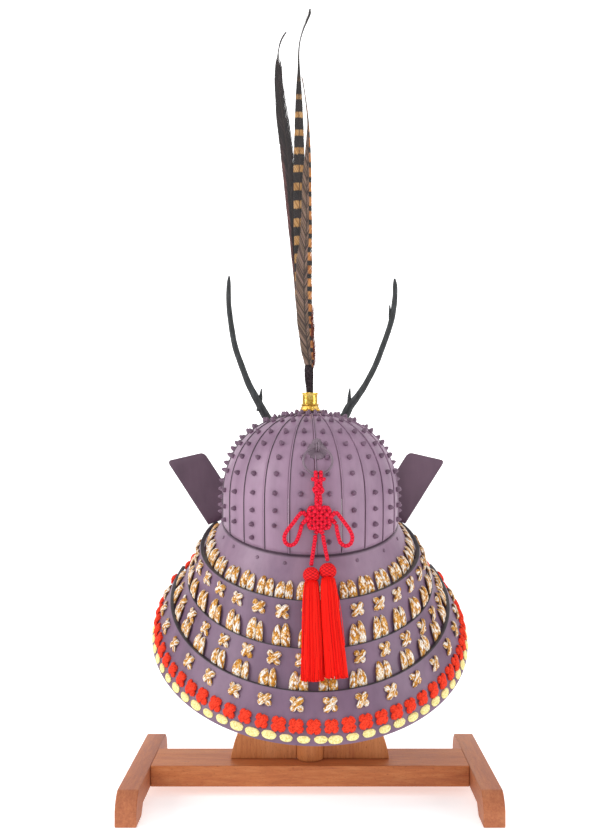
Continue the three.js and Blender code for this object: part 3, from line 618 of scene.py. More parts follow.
# The point at that turn and height, moved out along the surface's own normal
def onBowl(turn, z, out=0.0):
    slope = (bowlRadius(z + 0.05) - bowlRadius(z - 0.05)) / 0.1
    size = np.hypot(1, slope)
    reach = bowlRadius(z) + out / size
    return np.stack([reach * np.sin(turn), reach * bowl["deep"] * np.cos(turn), z - out * slope / size], -1)


def bowlFrame(turn, z):
    out = unit(onBowl(turn, z, 1.0) - onBowl(turn, z, 0.0))
    across = unit(np.stack([np.cos(turn), -bowl["deep"] * np.sin(turn), 0 * turn], -1))
    return onBowl(turn, z), across, np.cross(out, across), out


# One plate: flat across, a shallow groove, then a rounded rib along its higher edge
def bowlPlate(index):
    width = 2 * np.pi / bowl["plates"]
    clear = 0.1 / bowl["radius"]
    low, high = index * width + clear, (index + 1) * width - clear
    t = np.linspace(0, 1, bowl["rows"])[:, None]
    middle = bowlHeight((low + high) / 2, t)
    rib = bowl["ribWide"] * (0.5 + 0.5 * bowlRadius(middle) / bowl["radius"])
    radius = bowlRadius(middle)
    ribShare = np.array([0, 0.08, 0.2, 0.35, 0.5, 0.65, 0.8, 0.92, 1.0])
    ribOut = np.array([-0.1, 0.45, 0.85, 1.0, 1.0, 1.0, 0.85, 0.5, -0.45]) * bowl["ribHigh"]
    flat = np.array([0, 0.02, 0.05, 0.2, 0.35, 0.5, 0.65, 0.8, 0.92, 0.975])
    flatOut = np.array([-0.5, -0.1, 0, 0, 0, 0, 0, 0, 0, 0])
    edge = high - rib / radius
    turns = np.concatenate([mix(low, edge, flat[None]), mix(edge, high, ribShare[None])], 1)
    out = np.concatenate([flatOut, ribOut])[None] + 0 * turns
    z = bowlHeight(turns, t + 0 * turns)
    across = (turns - edge) * radius / 10
    v = np.broadcast_to((z - bowl["mid"]) / 10, across.shape)
    return skin(place(onBowl(turns, z, out)), uv=np.stack([across, v], -1))


helmetMiddle = place(np.array([0.0, 0.0, 380.0]))
for index in range(bowl["plates"]):
    node = f"bowl_plate_{index + 1:02d}"
    plate = makePiece(node + "_skin", [bowlPlate(index)], bowlLacquer, node, helmetMiddle)
    addWall(plate, bowl["wall"])
print("bowl plates made")

# Short ribbons laid on a surface: paths are in each one's own (across, up, out) axes
def ribbons(frames, paths, wide, thick, sides=10, uvOffset=None):
    origin, across, up, out = frames
    local = rings(paths, wide, thick, sides, square=(0, 0, 1))
    axes = [v[:, None, None, :] for v in (origin, across, up, out)]
    points = axes[0] + local[..., 0:1] * axes[1] + local[..., 1:2] * axes[2] + local[..., 2:3] * axes[3]
    step = np.linalg.norm(np.diff(paths, axis=-2), axis=-1)
    run = np.concatenate([np.zeros(step.shape[:-1] + (1,)), np.cumsum(step, -1)], -1) / 10
    u = np.broadcast_to(np.linspace(0, 1, sides + 1), run.shape + (sides + 1,))
    uv = np.stack([u, np.broadcast_to(run[..., None], u.shape)], -1)
    if uvOffset is not None:
        uv = uv + uvOffset[:, None, None, :]
    return skin(place(points), wrap=True, caps=True, uv=uv)


# Small turned caps standing on a surface: each profile is radius and height, size scales it
def caps(frames, profile, sides, size=1.0):
    origin, across, up, out = (v[:, None, None] for v in frames)
    profile, angle = np.array(profile), 2 * np.pi * np.arange(sides) / sides
    around = [profile[:, :1] * np.cos(angle), profile[:, :1] * np.sin(angle)]
    local = np.stack(around + [profile[:, 1:] + 0 * angle], -1)[None] * np.reshape(size, (-1, 1, 1, 1))
    points = origin + local[..., :1] * across + local[..., 1:2] * up + local[..., 2:] * out
    return skin(place(points), wrap=True, caps=True)


# Studs: pointed caps in one column up the middle of each plate, twice as close on the far half
studs = {"levels": [363.1, 381.4, 402, 426.1, 446.1, 462.6, 477.5, 491.6, 499.0, 501.7],
         "extra": [(-8, 344), (40.9, 347), (-40.9, 347), (90, 372), (-90, 372)],
         "profile": [(3.1, -0.3), (3.35, 0.9), (3.0, 2.6), (2.3, 4.4), (1.3, 5.9), (0.5, 6.5)]}


def studCopies():
    chance = np.random.default_rng(11)
    turns, levels = np.meshgrid((np.arange(bowl["plates"]) + 0.5) * 2 * np.pi / bowl["plates"],
                                np.array(studs["levels"]), indexing="ij")
    turns, levels = turns.ravel(), levels.ravel()
    crowded = (levels > 501) & (np.arange(len(levels)) // len(studs["levels"]) % 2 == 1)
    far = (np.cos(turns) < 0.12) & (levels < 492)
    between = levels[far] + np.interp(levels[far], [363, 402, 446, 491], [9, 12, 8, 4.5])
    extra = np.array(studs["extra"])
    turns = np.concatenate([turns[~crowded], turns[far], extra[:, 0] * deg])
    levels = np.concatenate([levels[~crowded], between, extra[:, 1]])
    keep = levels > edgeLevel(rimEdge, turns) + 6
    turns, levels = turns[keep], levels[keep]
    turns = turns + chance.normal(0, 0.006, len(turns))
    levels = levels + chance.normal(0, 0.35, len(levels))
    size = np.where(levels > 495, 0.95, 1.0) * chance.uniform(0.93, 1.06, len(turns))
    return caps(bowlFrame(turns, levels), studs["profile"], 8, size)


makePiece("bowl_studs", [studCopies()], studShadedLacquer)

# Crown ring, with a rolled edge
crownRing = {"profile": [(5, 503.8), (15.1, 503.8), (15.6, 504.2), (15.5, 504.9), (15, 505.1), (5, 505.0)]}
makePiece("crown_ring_turned", [skin(place(lathe(crownRing["profile"], 48)), wrap=True)], bowlLacquer,
          "crown_ring", sharp=40)


# --- plume socket and stem

socket = {
    "base": [(3, 505.3), (12.9, 505.3), (13.5, 506.2), (13.3, 508), (12.2, 510.2), (11.2, 512.6),
             (11.6, 513.3), (12.1, 513.9), (12.1, 514.7), (11.6, 515), (3, 515)],
    "ferrule": [(3, 515.3), (10.25, 515.3), (10.25, 516.3), (10.2, 520), (10.25, 527.8), (10.8, 528.5),
                (10.95, 529.4), (10.7, 530.2), (9.6, 530.3), (8.3, 530.1), (8.2, 529), (8.2, 518), (3, 518)],
}
basePath = densify(socket["base"], 0.7)
petals = np.abs(np.cos(6 * 2 * np.pi * np.arange(96) / 96)) ** 0.5 * 1.1 - 1.1
petalShare = np.clip((512.6 - basePath[:, 1:2]) / 5, 0, 1) * (basePath[:, :1] > 10)
petalledBase = place(lathe(basePath, 96, petals[None] * petalShare))
makePiece("socket_base_petals", [skin(petalledBase, wrap=True, caps=True)], punchedGilt,
          "socket_base", sharp=50)
makePiece("plume_ferrule", [skin(place(lathe(densify(socket["ferrule"], 1.2), 64)), wrap=True, caps=True)],
          polishedGilt, "plume_socket", sharp=45)


# The stem: a bundle of quills bound round with dark thread
def stemSkins():
    chance = np.random.default_rng(5)
    core = smoothLine([(0, 0, 518.4, 9.4), (0.2, 0, 525, 7.8), (0.6, 0, 536, 8.4), (1.2, 0, 550, 10.6),
                       (1.6, 0, 562, 10.6), (1.6, 0, 567.6, 9)], 60)
    turns = np.arange(24) / 24
    rows = np.arange(60)[:, None] / 59
    relief = (0.7 * np.sin(2 * np.pi * (turns[None] * 5 + 1.4 * rows))
              + 0.3 * np.sin(2 * np.pi * (turns[None] * 9 - 3 * rows)))
    wide = core[:, 3:4] * (1 + 0.06 * np.sin(9 * rows)) + relief
    made = [skin(place(rings(core[:, :3], wide, sides=24)), wrap=True, caps=True)]
    for k in range(14):
        turn = k / 14 * 2 * np.pi
        reach = chance.uniform(0.92, 1.06)
        wander = chance.uniform(0.3, 1.5)
        route = []
        for s, r in ((0, 4.9), (0.15, 3.9), (0.4, 4.3), (0.7, 5.4), (1, 5.0)):
            at = turn + wander * s
            route.append((r * reach * math.cos(at), r * reach * math.sin(at) * 0.9, 519 + 48 * s))
        strand = smoothLine(route, 24)
        strand[:, 0] += np.linspace(0, 1.6, 24)
        made.append(skin(place(rings(strand, np.full(24, 1.9), sides=6)), wrap=True, caps=True))
    return made


stemBinding = threadMaterial("dark waxed binding thread", "#4a3f42", "#2a2225", "#151012")
makePiece("feather_stem_bound", stemSkins(), stemBinding, "feather_stem")


# --- feathers

# z, x, half width; bars is the count of bars passed at that height, phase included
feathers = {
    "feather_dark": {
        "y": -2.8, "material": darkFeather, "slot": "dark_feather", "pitch": 1.5, "slant": 1.9, "seed": 21,
        "stations": [(568, 1.5, 1.5), (590, 5, 3.5), (641, 13, 5), (676, 15.5, 5.8), (733, 20, 7),
                     (789, 25, 8), (857, 31.3, 8.8), (900, 36.6, 8.6), (923, 39.3, 7.2),
                     (950, 42, 5.6), (968, 42.2, 4.6),
                     (977, 42.6, 3.2), (984, 42.8, 1.0), (994, 41.6, 0.9), (1006, 37.6, 0.9),
                     (1015, 32, 0.7)],
        "bars": lambda z: (z - 568) / 36},
    "feather_barred": {
        "y": 0.0, "material": barredFeather, "slot": "barred_feather", "pitch": 1.5, "slant": 1.5, "seed": 22,
        "stations": [(568, 2, 1.6), (590, 6, 3.5), (644, 12, 6), (715, 13.5, 7.5), (782, 14, 8),
                     (849, 14.5, 7.2), (910, 14.8, 5.2), (945, 15, 3.2), (964, 15, 1.7), (985, 15.2, 1.0),
                     (1003, 13.4, 0.9), (1018, 9.4, 1.4), (1030, 4.9, 2.3), (1040, 1.4, 2.8),
                     (1045.6, 0, 1.2)],
        "bars": lambda z: (z - 782.4) / 24.1 + 9},
    "feather_brown": {
        "y": 2.8, "material": brownFeather, "slot": "barred_feather", "pitch": 1.4, "slant": 1.7, "seed": 23,
        "stations": [(562, 1, 5.6), (571, 1.2, 7), (584, 3, 8.5), (607, 5.1, 9.7), (630, 6.9, 10.8),
                     (675, 8.3, 11.1), (709, 7.7, 10.6), (732, 5.8, 8.6), (755, 4.8, 7.5), (778, 4.7, 6.9),
                     (809, 4.4, 6.4), (851, 3, 4.1), (872, 2.6, 2.5), (892, 2.7, 1.2), (921, 5.7, 0.8),
                     (942, 8.8, 0.7), (953, 11.2, 0.6)],
        "bars": lambda z: 59.1 * np.log(1 + (z - 571.5) / 912)},
}


# Barbs in pairs up a quill. Each leaves it at the slant and ends on the outline: its point at share s
# is quill(z) + side * half(tip) * s, and z climbs from its root to its tip.
def featherSkins(feather):
    chance = np.random.default_rng(feather["seed"])
    table = np.array(feather["stations"], float)
    shape = smoothLine(np.stack([table[:, 1], 0 * table[:, 0], table[:, 0], table[:, 2]], -1), 400)
    low, top = table[0, 0], table[-1, 0]
    quillX = lambda z: np.interp(z, shape[:, 2], shape[:, 0])
    half = lambda z: np.interp(z, shape[:, 2], shape[:, 3])
    made = []
    for side in (-1, 1):
        count = int((top - low) / feather["pitch"])
        root = np.linspace(low - 4, top - 2, count)
        ragged = np.convolve(chance.normal(0, 1, count), np.ones(9) / 9, "same") * 0.12
        ragged = ragged + chance.normal(0, 0.025, count)
        rise = feather["slant"] * half(root) * (1 + ragged) + 3
        tip = np.minimum(root + rise, top)
        reach = half(tip) * (1 + 0.35 * np.clip(ragged, -1, 0.15))
        s = np.linspace(0, 1, 6)[None]
        z = mix(root[:, None], tip[:, None], s ** 1.12)
        x = quillX(z) + side * reach[:, None] * s
        thin = feather["pitch"] * (0.92 - 0.5 * s**3)
        camber = -1.3 * (s * reach[:, None] / 11) ** 2 + chance.uniform(-0.12, 0.12, count)[:, None]
        y = feather["y"] + camber
        upper = np.stack([x, y + 0.12, z + thin], -1)
        lower = np.stack([x, y - 0.12, z - thin], -1)
        strips = np.stack([lower, upper], 2)
        strips[..., 2] = np.clip(strips[..., 2], low - 3, top)
        u = 0.5 + side * 0.5 * s + 0 * z
        bars = feather["bars"](np.clip(z, 560, None))
        uv = np.repeat(np.stack([u, bars], -1)[:, :, None], 2, 2)
        barb = np.repeat(chance.uniform(0, 1, count)[:, None], 6, 1)
        rootBars = np.repeat(feather["bars"](np.clip(root, 560, None))[:, None], 6, 1)
        tone = np.repeat(np.stack([barb, rootBars], -1)[:, :, None], 2, 2)
        made.append(skin(place(strips), uv=uv, tone=tone))
    z = np.linspace(low, top - 1, 60)
    quill = np.stack([quillX(z), np.full(60, feather["y"]), z], -1)
    wide = np.linspace(1.9, 0.5, 60)
    v = np.repeat(feather["bars"](np.clip(z, 560, None))[:, None], 7, 1)
    flat = np.stack([np.full_like(v, 0.5), v], -1)
    made.append(skin(place(rings(quill, wide, sides=6)), wrap=True, caps=True, uv=flat,
                     tone=np.stack([np.full_like(v, 0.2), v], -1)))
    return made


for node, feather in feathers.items():
    piece = makePiece(node + "_barbs", featherSkins(feather), feather["material"], node,
                      middle=place(np.array([0.0, -400.0, 800.0])))
    addWall(piece, 0.12)

# Down at the foot of the plume: fine loose barbs that stand off to one side
downTuft = {"count": 130, "from": (570, 636), "seed": 31}


def tuftSkin():
    chance = np.random.default_rng(downTuft["seed"])
    count = downTuft["count"]
    rootZ = chance.uniform(*downTuft["from"], count) - 8
    edgeX = np.interp(rootZ, [565, 590, 620, 655], [-4.4, -4.0, -2.4, -1.2])
    rootX = edgeX + chance.uniform(-0.5, 2.0, count)
    lean, climb = chance.uniform(1.0, 5.0, count), chance.uniform(12, 26, count)
    s = np.linspace(0, 1, 7)[None]
    x = rootX[:, None] - lean[:, None] * s**0.8
    z = rootZ[:, None] + climb[:, None] * s
    y = chance.uniform(-1.5, 3.4, count)[:, None] + 0 * s
    lines = np.stack([x, y, z], -1)
    body = rings(lines, np.broadcast_to(0.9 * (1 - 0.8 * s), x.shape), sides=3)
    return skin(place(body), wrap=True, caps=True)


downFluff = threadMaterial("ruddy down", "#8f5044", "#6e382f", "#40201c")
makePiece("feather_down_tuft", [tuftSkin()], downFluff)
print("plume made")


# --- flange and neck guard

flangeFoot = {"side": 143.5, "back": 147, "backZ": 268, "sideZ": 319}
lames = [
    {"node": "neck_lame_1", "end": 117, "lip": 5.2,
     "top": {"side": 146, "back": 150, "backZ": 277.7, "sideZ": 329},
     "foot": {"side": 160.5, "back": 164, "backZ": 214, "sideZ": 280}},
    {"node": "neck_lame_2", "end": 113, "lip": 3.6,
     "top": {"side": 162.5, "back": 168, "backZ": 225, "sideZ": 288},
     "foot": {"side": 181, "back": 186, "backZ": 170, "sideZ": 256}},
    {"node": "neck_lame_3", "end": 109, "lip": 4.8,
     "top": {"side": 185, "back": 190, "backZ": 181, "sideZ": 264},
     "foot": {"side": 209, "back": 209, "backZ": 124.7, "sideZ": 217}},
]
guard = {"wall": 2, "columns": 145, "rows": 12, "flangeEnd": 122}


def onEdge(edge, turn):
    return np.stack([edge["side"] * np.sin(turn), edge["back"] * np.cos(turn), edgeLevel(edge, turn)], -1)


# A lame is ruled between its two tilted ellipses
def onLame(lame):
    return lambda turn, t: mix(onEdge(lame["top"], turn), onEdge(lame["foot"], turn), t[..., None])


# The flange runs from just under the bowl's rim to its own foot, dished by 10 mm
def onFlange(turn, t):
    rimPoint = onBowl(turn, bowlHeight(turn, 0 * turn))
    p = mix(rimPoint, onEdge(flangeFoot, turn), t[..., None])
    return p - np.stack([0 * t, 0 * t, 3 + 10 * t * (1 - t)], -1)


def gridAround(surface, end, shares, columns=guard["columns"]):
    turn, t = np.meshgrid(np.linspace(-end, end, columns) * deg, shares, indexing="ij")
    points = surface(turn, t)
    down = np.linalg.norm(np.diff(points, axis=1), axis=-1)
    run = np.concatenate([np.zeros((columns, 1)), np.cumsum(down, 1)], 1) / 10
    return points, np.stack([turn * 15, run], -1)


# Each lame's top edge turns in toward the lame above, and its lip is darkened by painted shade in its lacquer
for lame in lames:
    points, uv = gridAround(onLame(lame), lame["end"], np.linspace(0, 1, guard["rows"]))
    inward = unit(points[:, :1] * np.array([-1, -1, 0])) * lame["lip"]
    lip = [points[:, :1] + inward - [0, 0, 0.6], points[:, :1] + inward * 0.4 - [0, 0, 0.1]]
    points = np.concatenate(lip + [points], 1)
    uv = np.concatenate([uv[:, :1], uv[:, :1], uv], 1)
    piece = makePiece(lame["node"] + "_plate", [skin(place(points), uv=uv)], lameLacquer,
                      lame["node"], helmetMiddle)
    addBevel(addWall(piece, guard["wall"]), 0.5)

points, uv = gridAround(onFlange, guard["flangeEnd"], np.linspace(0, 1, 20))
turns = np.linspace(-guard["flangeEnd"], guard["flangeEnd"], guard["columns"]) * deg
# a collar inside the bowl carries the flange
inside = -bowl["wall"] - 0.75
collarTop = onBowl(turns, bowlHeight(turns, 0.06 + 0 * turns), inside)
collarFoot = onBowl(turns, bowlHeight(turns, 0 * turns), inside) - np.array([0, 0, 1.8])
points = np.concatenate([collarTop[:, None], collarFoot[:, None], points], 1)
uv = np.concatenate([uv[:, :1], uv[:, :1], uv], 1)
piece = makePiece("flange_plate", [skin(place(points), uv=uv)], flangeLacquer, "flange",
                  helmetMiddle, sharp=40)
addBevel(addWall(piece, guard["wall"]), 0.5)

# Small flat rivets just under the rim
rivets = {"turns": [-68, -48, -26, -9, 18, 36, 57, 72], "share": 0.13,
          "profile": [(2.3, -0.4), (2.3, 0.5), (1.7, 0.9), (0.6, 1.0)]}


# Position, across, up and out at points of a surface given by turn and share
def surfaceFrame(surface, turn, t):
    origin = surface(turn, t)
    across = unit(surface(turn + 0.002, t) - surface(turn - 0.002, t))
    up = unit(surface(turn, t - 0.01) - surface(turn, t + 0.01))
    out = unit(np.cross(across, up))
    facing = np.sign(np.einsum("ij,ij->i", out[:, :2], origin[:, :2]))[:, None]
    return origin, across, up, out * facing


rivetTurns = np.array(rivets["turns"]) * deg
rivetFrames = surfaceFrame(onFlange, rivetTurns, np.full(len(rivetTurns), rivets["share"]))
makePiece("flange_rivets", [caps(rivetFrames, rivets["profile"], 12)], studShadedLacquer)
print("flange and lames made")


# --- lacing

# Where a row runs: the lame's share at which its height is zb + k1 (1 - cos) + k2 (1 - cos)^2
def rowShare(top, foot, row, turn):
    rise = 1 - np.cos(turn)
    z = row["zb"] + row["k1"] * rise + row.get("k2", 0) * rise**2
    return (edgeLevel(top, turn) - z) / (edgeLevel(top, turn) - edgeLevel(foot, turn))


def columnTurns(centre, first, pitch, end):
    side = np.arange(first, end, pitch)
    return (np.concatenate([-side[::-1], side]) + centre) * deg


# Pairs of flat braids: each comes out of a hole, lies on the lame and runs down behind the next one
pairRows = [
    {"name": "lacing_pairs_1", "surface": onFlange, "next": lames[0]["top"], "centre": -0.3, "rise": 21,
     "first": 5.3, "pitch": 10.8, "end": 112, "seed": 41},
    {"name": "lacing_pairs_2", "surface": onLame(lames[0]), "next": lames[1]["top"], "centre": -1.2,
     "rise": 25, "first": 5.3, "pitch": 11.45, "end": 108, "seed": 42},
    {"name": "lacing_pairs_3", "surface": onLame(lames[1]), "next": lames[2]["top"], "centre": 1.9,
     "rise": 19, "first": 5.5, "pitch": 11.3, "end": 105, "seed": 43},
]


def pairSkins(row):
    chance = np.random.default_rng(row["seed"])
    turns = columnTurns(row["centre"], row["first"], row["pitch"], row["end"])
    count = len(turns)
    shares = np.linspace(0, 1, 400)
    heights = row["surface"](np.repeat(turns[:, None], 400, 1), np.repeat(shares[None], count, 0))[..., 2]
    edge = edgeLevel(row["next"], turns)
    share = shares[np.argmin(np.abs(heights - edge[:, None]), 1)]
    frames = surfaceFrame(row["surface"], turns, share)
    made = []
    split = chance.uniform(0.42, 0.58, count)
    for side in (1, -1):
        wide = 22.6 * np.where(side > 0, split, 1 - split) + 0.4
        rise = row["rise"] * chance.uniform(0.9, 1.08, count) * mix(1.0, 0.72, (1 - np.cos(turns)))
        tipX, footX = chance.uniform(3.4, 4.8, count), 6.2 * wide / 12
        s = np.array([0, 0.05, 0.13, 0.25, 0.4, 0.55, 0.7, 0.82, 0.92, 1.0])[None]
        y = mix(rise[:, None], -8.0, s)
        x = side * mix(tipX[:, None], footX[:, None], np.clip(s * 1.25, 0, 1) ** 0.8)
        lift = np.interp(s, [0, 0.05, 0.13, 0.3, 0.6, 0.72, 0.85, 1],
                         [-1.2, 0.6, 2.0, 3.0, 2.9, 2.3, 1.3, 0.8])
        path = np.stack([x, y, lift + 0 * x], -1)
        swell = np.interp(s, [0, 0.05, 0.13, 0.25, 0.42, 0.6, 0.8, 1],
                          [0.1, 0.38, 0.62, 0.85, 1, 1, 0.92, 0.7])
        thick = np.interp(s, [0, 0.05, 0.13, 0.3, 0.6, 0.75, 0.88, 1],
                          [0.8, 2.2, 3.6, 5.0, 4.8, 3.6, 1.8, 1.0])
        offset = chance.integers(0, 40, (count, 2)) * np.array([1.0, 1.13])
        made.append(ribbons(frames, path, wide[:, None] * swell, thick + 0 * x, 12, offset))
    return made


for row in pairRows:
    makePiece(row["name"], pairSkins(row), lacingSilk)

# Crossed stitches: one short cord over another, corner to corner
crossRows = [
    {"name": "lacing_crosses_1", "lame": 0, "zb": 262.5, "k1": 60.7, "k2": -6, "centre": -1.7, "first": 5.7,
     "pitch": 11.6, "end": 108, "half": 7.0, "wide": 8.6, "seed": 51, "thread": lacingSilk, "slot": "lacing"},
    {"name": "lacing_crosses_2", "lame": 1, "zb": 211.3, "k1": 69.2, "k2": -8.6, "centre": 0.2, "first": 5.8,
     "pitch": 11.6, "end": 106, "half": 7.0, "wide": 8.6, "seed": 52, "thread": lacingSilk, "slot": "lacing"},
    {"name": "lacing_crosses_3", "lame": 2, "zb": 166.8, "k1": 85.9, "k2": -3.6, "centre": 1.85,
     "first": 5.65, "pitch": 11.3, "end": 104, "half": 7.0, "wide": 8.6, "seed": 53,
     "thread": lacingSilk, "slot": "lacing"},
    {"name": "red_crosses", "lame": 2, "zb": 144, "k1": 88.3, "centre": -1.06, "first": 2.86, "pitch": 5.72,
     "end": 106, "half": 6.7, "wide": 10.2, "seed": 54, "thread": redThread, "slot": "red_silk"},
]


def crossSkins(row):
    chance = np.random.default_rng(row["seed"])
    lame = lames[row["lame"]]
    turns = columnTurns(row["centre"], row["first"], row["pitch"], row["end"])
    count = len(turns)
    share = np.clip(rowShare(lame["top"], lame["foot"], row, turns), 0.03, 0.97)
    frames = surfaceFrame(onLame(lame), turns, share)
    size = chance.uniform(0.94, 1.06, count)[:, None]
    s = np.linspace(-1, 1, 11)[None]
    made = []
    for over, slant in ((0, 1), (1, -1)):
        lean = slant * 45 * deg + chance.normal(0, 4 * deg, count)[:, None]
        reach = row["half"] * 1.414 * size
        bend = chance.uniform(-0.6, 0.6, count)[:, None] * (1 - s**2)
        x = reach * s * np.sin(lean) + bend * np.cos(lean)
        y = reach * s * np.cos(lean) - bend * np.sin(lean)
        lift = (1.9 + 1.5 * over) * (1 - np.abs(s) ** 3.5) - 0.3
        swell = np.clip(1 - np.abs(s) ** 7, 0.02, 1) ** 0.5 * (1 - 0.1 * (1 - s**2))
        path = np.stack([x, y, lift + 0 * x], -1)
        offset = chance.integers(0, 40, (count, 2)) * np.array([1.0, 1.13])
        made.append(ribbons(frames, path, row["wide"] * swell * size, 4.2 * swell + 0 * x, 10, offset))
    return made


for row in crossRows:
    makePiece(row["name"], crossSkins(row), row["thread"])

# Red knots at each lame's front ends
endKnots = {"shares": (0.3, 0.72), "inset": (3.0, 3.4), "seed": 57}


def endKnotSkins():
    chance = np.random.default_rng(endKnots["seed"])
    made = []
    for lame in lames:
        for sign in (-1, 1):
            for share, inset in zip(endKnots["shares"], endKnots["inset"]):
                turn = np.array([sign * (lame["end"] - inset) * deg])
                frames = surfaceFrame(onLame(lame), turn, np.array([share]))
                s = np.linspace(-1, 1, 11)[None]
                for over, slant in ((0, 1), (1, -1)):
                    lean = slant * 45 * deg + chance.normal(0, 5 * deg)
                    lift = (1.9 + 1.5 * over) * (1 - np.abs(s) ** 3.5) - 0.3
                    path = np.stack([7 * s * math.sin(lean), 7 * s * math.cos(lean), lift], -1)
                    swell = np.clip(1 - np.abs(s) ** 7, 0.02, 1) ** 0.5
                    made.append(ribbons(frames, path, 7.6 * swell, 4.4 * swell, 10))
    return made


makePiece("end_knots", endKnotSkins(), redThread)

# Cream stitches along the foot: flat beans, a little bent
beans = {"zb": 132, "k1": 90.2, "centre": 0.0, "pitch": 5.5, "first": 5.0, "end": 104, "long": 16.4,
         "wide": 9.4, "thick": 3.0, "seed": 61}


def beanSkins():
    chance = np.random.default_rng(beans["seed"])
    lame = lames[2]
    turns = columnTurns(beans["centre"], beans["first"], beans["pitch"], beans["end"])
    turns = np.concatenate([turns, [-0.4 * deg]])
    count = len(turns)
    share = np.clip(rowShare(lame["top"], lame["foot"], beans, turns), 0.5, 0.91)
    frames = surfaceFrame(onLame(lame), turns, share)
    s = np.linspace(-1, 1, 11)[None]
    size = chance.uniform(0.9, 1.08, count)[:, None]
    x = beans["long"] / 2 * s * size
    y = -1.0 * (1 - s**2) * chance.uniform(0.2, 1.4, count)[:, None] + chance.normal(0, 0.4, count)[:, None]
    swell = np.clip(1 - np.abs(s) ** 2.6, 0.015, 1) ** 0.5
    path = np.stack([x, y, 0.5 + 0 * x], -1)
    return [ribbons(frames, path, beans["wide"] * swell * size, beans["thick"] * swell + 0 * x, 10)]


makePiece("cream_stitches", beanSkins(), creamThread)
print("lacing made")


# --- turned-back wings

wing = {"wall": 2, "corner": 6, "tabFrom": 113, "tabTo": 123, "innerTop": (146.6, -88, 449),
        "outerTop": (198.6, -80, 437), "innerRoot": (101, -80, 380), "outerRoot": (139.3, -69.6, 347.3)}


# Rows of points from the tab on the flange, round a bend, along the board to its rounded tip
def wingGrid(sign):
    share = np.linspace(0, 1, 41)
    corners = {key: np.array(wing[key], float) for key in ("innerTop", "outerTop", "innerRoot", "outerRoot")}

    def tab(turn):
        p = onFlange(np.full(41, turn * deg), mix(0.12, 0.6, share))
        out = unit(np.array([math.sin(turn * deg), math.cos(turn * deg), 0.6]))
        return p + out * 0.9

    start, end = tab(wing["tabFrom"]), tab(wing["tabTo"])
    root = mix(corners["innerRoot"], corners["outerRoot"], share[:, None])
    bend = end + unit(end - start) * 9
    columns = [start, mix(start, end, 0.5), end]
    for t in np.linspace(0.1, 1, 10):
        columns.append((1 - t) ** 2 * end + 2 * t * (1 - t) * bend + t**2 * root)
    tip = mix(corners["innerTop"], corners["outerTop"], share[:, None])
    near = np.clip(1 - np.minimum(share, 1 - share) / 0.115, 0, 1)
    short = wing["corner"] * (1 - np.sqrt(1 - near**2))
    tip = tip + unit(root - tip) * short[:, None]
    columns += [mix(root, tip, t) for t in np.linspace(0.1, 1, 10)]
    points = np.stack(columns, 1)
    points[..., 0] *= sign
    return points


for sign, node in ((1, "turned_wing_left"), (-1, "turned_wing_right")):
    piece = makePiece(node + "_board", [skin(place(wingGrid(sign)))], wingShadedLacquer, node,
                      middle=place(np.array([sign * 60.0, -400.0, 300.0])))
    addBevel(addWall(piece, wing["wall"]), 0.6)

# Visor
visor = {"from": 130, "reach": 42, "fall": 16, "wall": 2, "clear": 1.7}
share = np.linspace(0, 1, 81)
turns = mix(visor["from"], 360 - visor["from"], share) * deg
reach = 3 + visor["reach"] * np.sin(np.pi * share) ** 0.7
outward = np.stack([np.sin(turns), np.cos(turns), 0 * turns], -1)
stand0 = visor["clear"] + visor["wall"]
upper = onBowl(turns, bowlHeight(turns, 0.1 + 0 * turns), stand0)
root = onBowl(turns, bowlHeight(turns, 0 * turns), stand0)
fall = visor["fall"] * reach / visor["reach"]
edge = root + outward * reach[:, None] - np.stack([0 * reach, 0 * reach, fall], -1)
columns = [upper, mix(upper, root, 0.5), root]
columns += [mix(root, edge, t) + np.array([0, 0, 8 * t * (1 - t)]) for t in np.linspace(0.12, 1, 8)]
piece = makePiece("visor_plate", [skin(place(np.stack(columns, 1)))], lameLacquer, "visor",
                  middle=place(np.array([0.0, 0.0, 300.0])), sharp=50)
addBevel(addWall(piece, visor["wall"]), 0.5)
print("wings and visor made")


# --- antlers

antlers = {
    "antler_left": [
        [(24, -123, 450.3, 13), (24, -123, 457, 13), (30, -120, 465, 12.8), (42, -115, 479, 12.6),
         (60, -107, 503, 12.3), (71, -102, 524, 11), (84, -97, 549, 9.2), (93.5, -93, 573.5, 8.6),
         (102.5, -90, 601, 8.4), (108, -88, 629, 8), (111.5, -86, 663, 7.2), (111.6, -85, 690, 5.8),
         (111, -85, 700, 2.5)],
        [(68.5, -104, 508, 8), (67, -103, 519, 6.4), (66, -101.5, 530, 5), (64.8, -100, 540.5, 1.6)]],
    "antler_right": [
        [(-24, -123, 450.3, 13), (-24, -123, 457, 13), (-29, -120, 465, 13), (-40, -116, 479, 13),
         (-56.5, -107, 502, 13), (-63, -104.5, 515, 12.3), (-72, -101, 527, 10.2), (-84, -97, 544.5, 8.8),
         (-96.6, -93, 568, 8.3), (-107.4, -90, 594.7, 8), (-116, -88, 618, 8), (-123.4, -87, 645, 8.4),
         (-126.9, -86, 670, 7.2), (-126.8, -85, 690, 6), (-126.3, -85, 698.5, 2.8)],
        [(-63, -104, 508, 8), (-62.6, -103, 519, 6.2), (-62.5, -101.5, 530, 5), (-63.4, -100, 541.8, 1.6)],
        [(-120.6, -87, 630, 5.5), (-119.9, -86.6, 645, 4.4), (-119.4, -86, 660.4, 1.8)]],
}


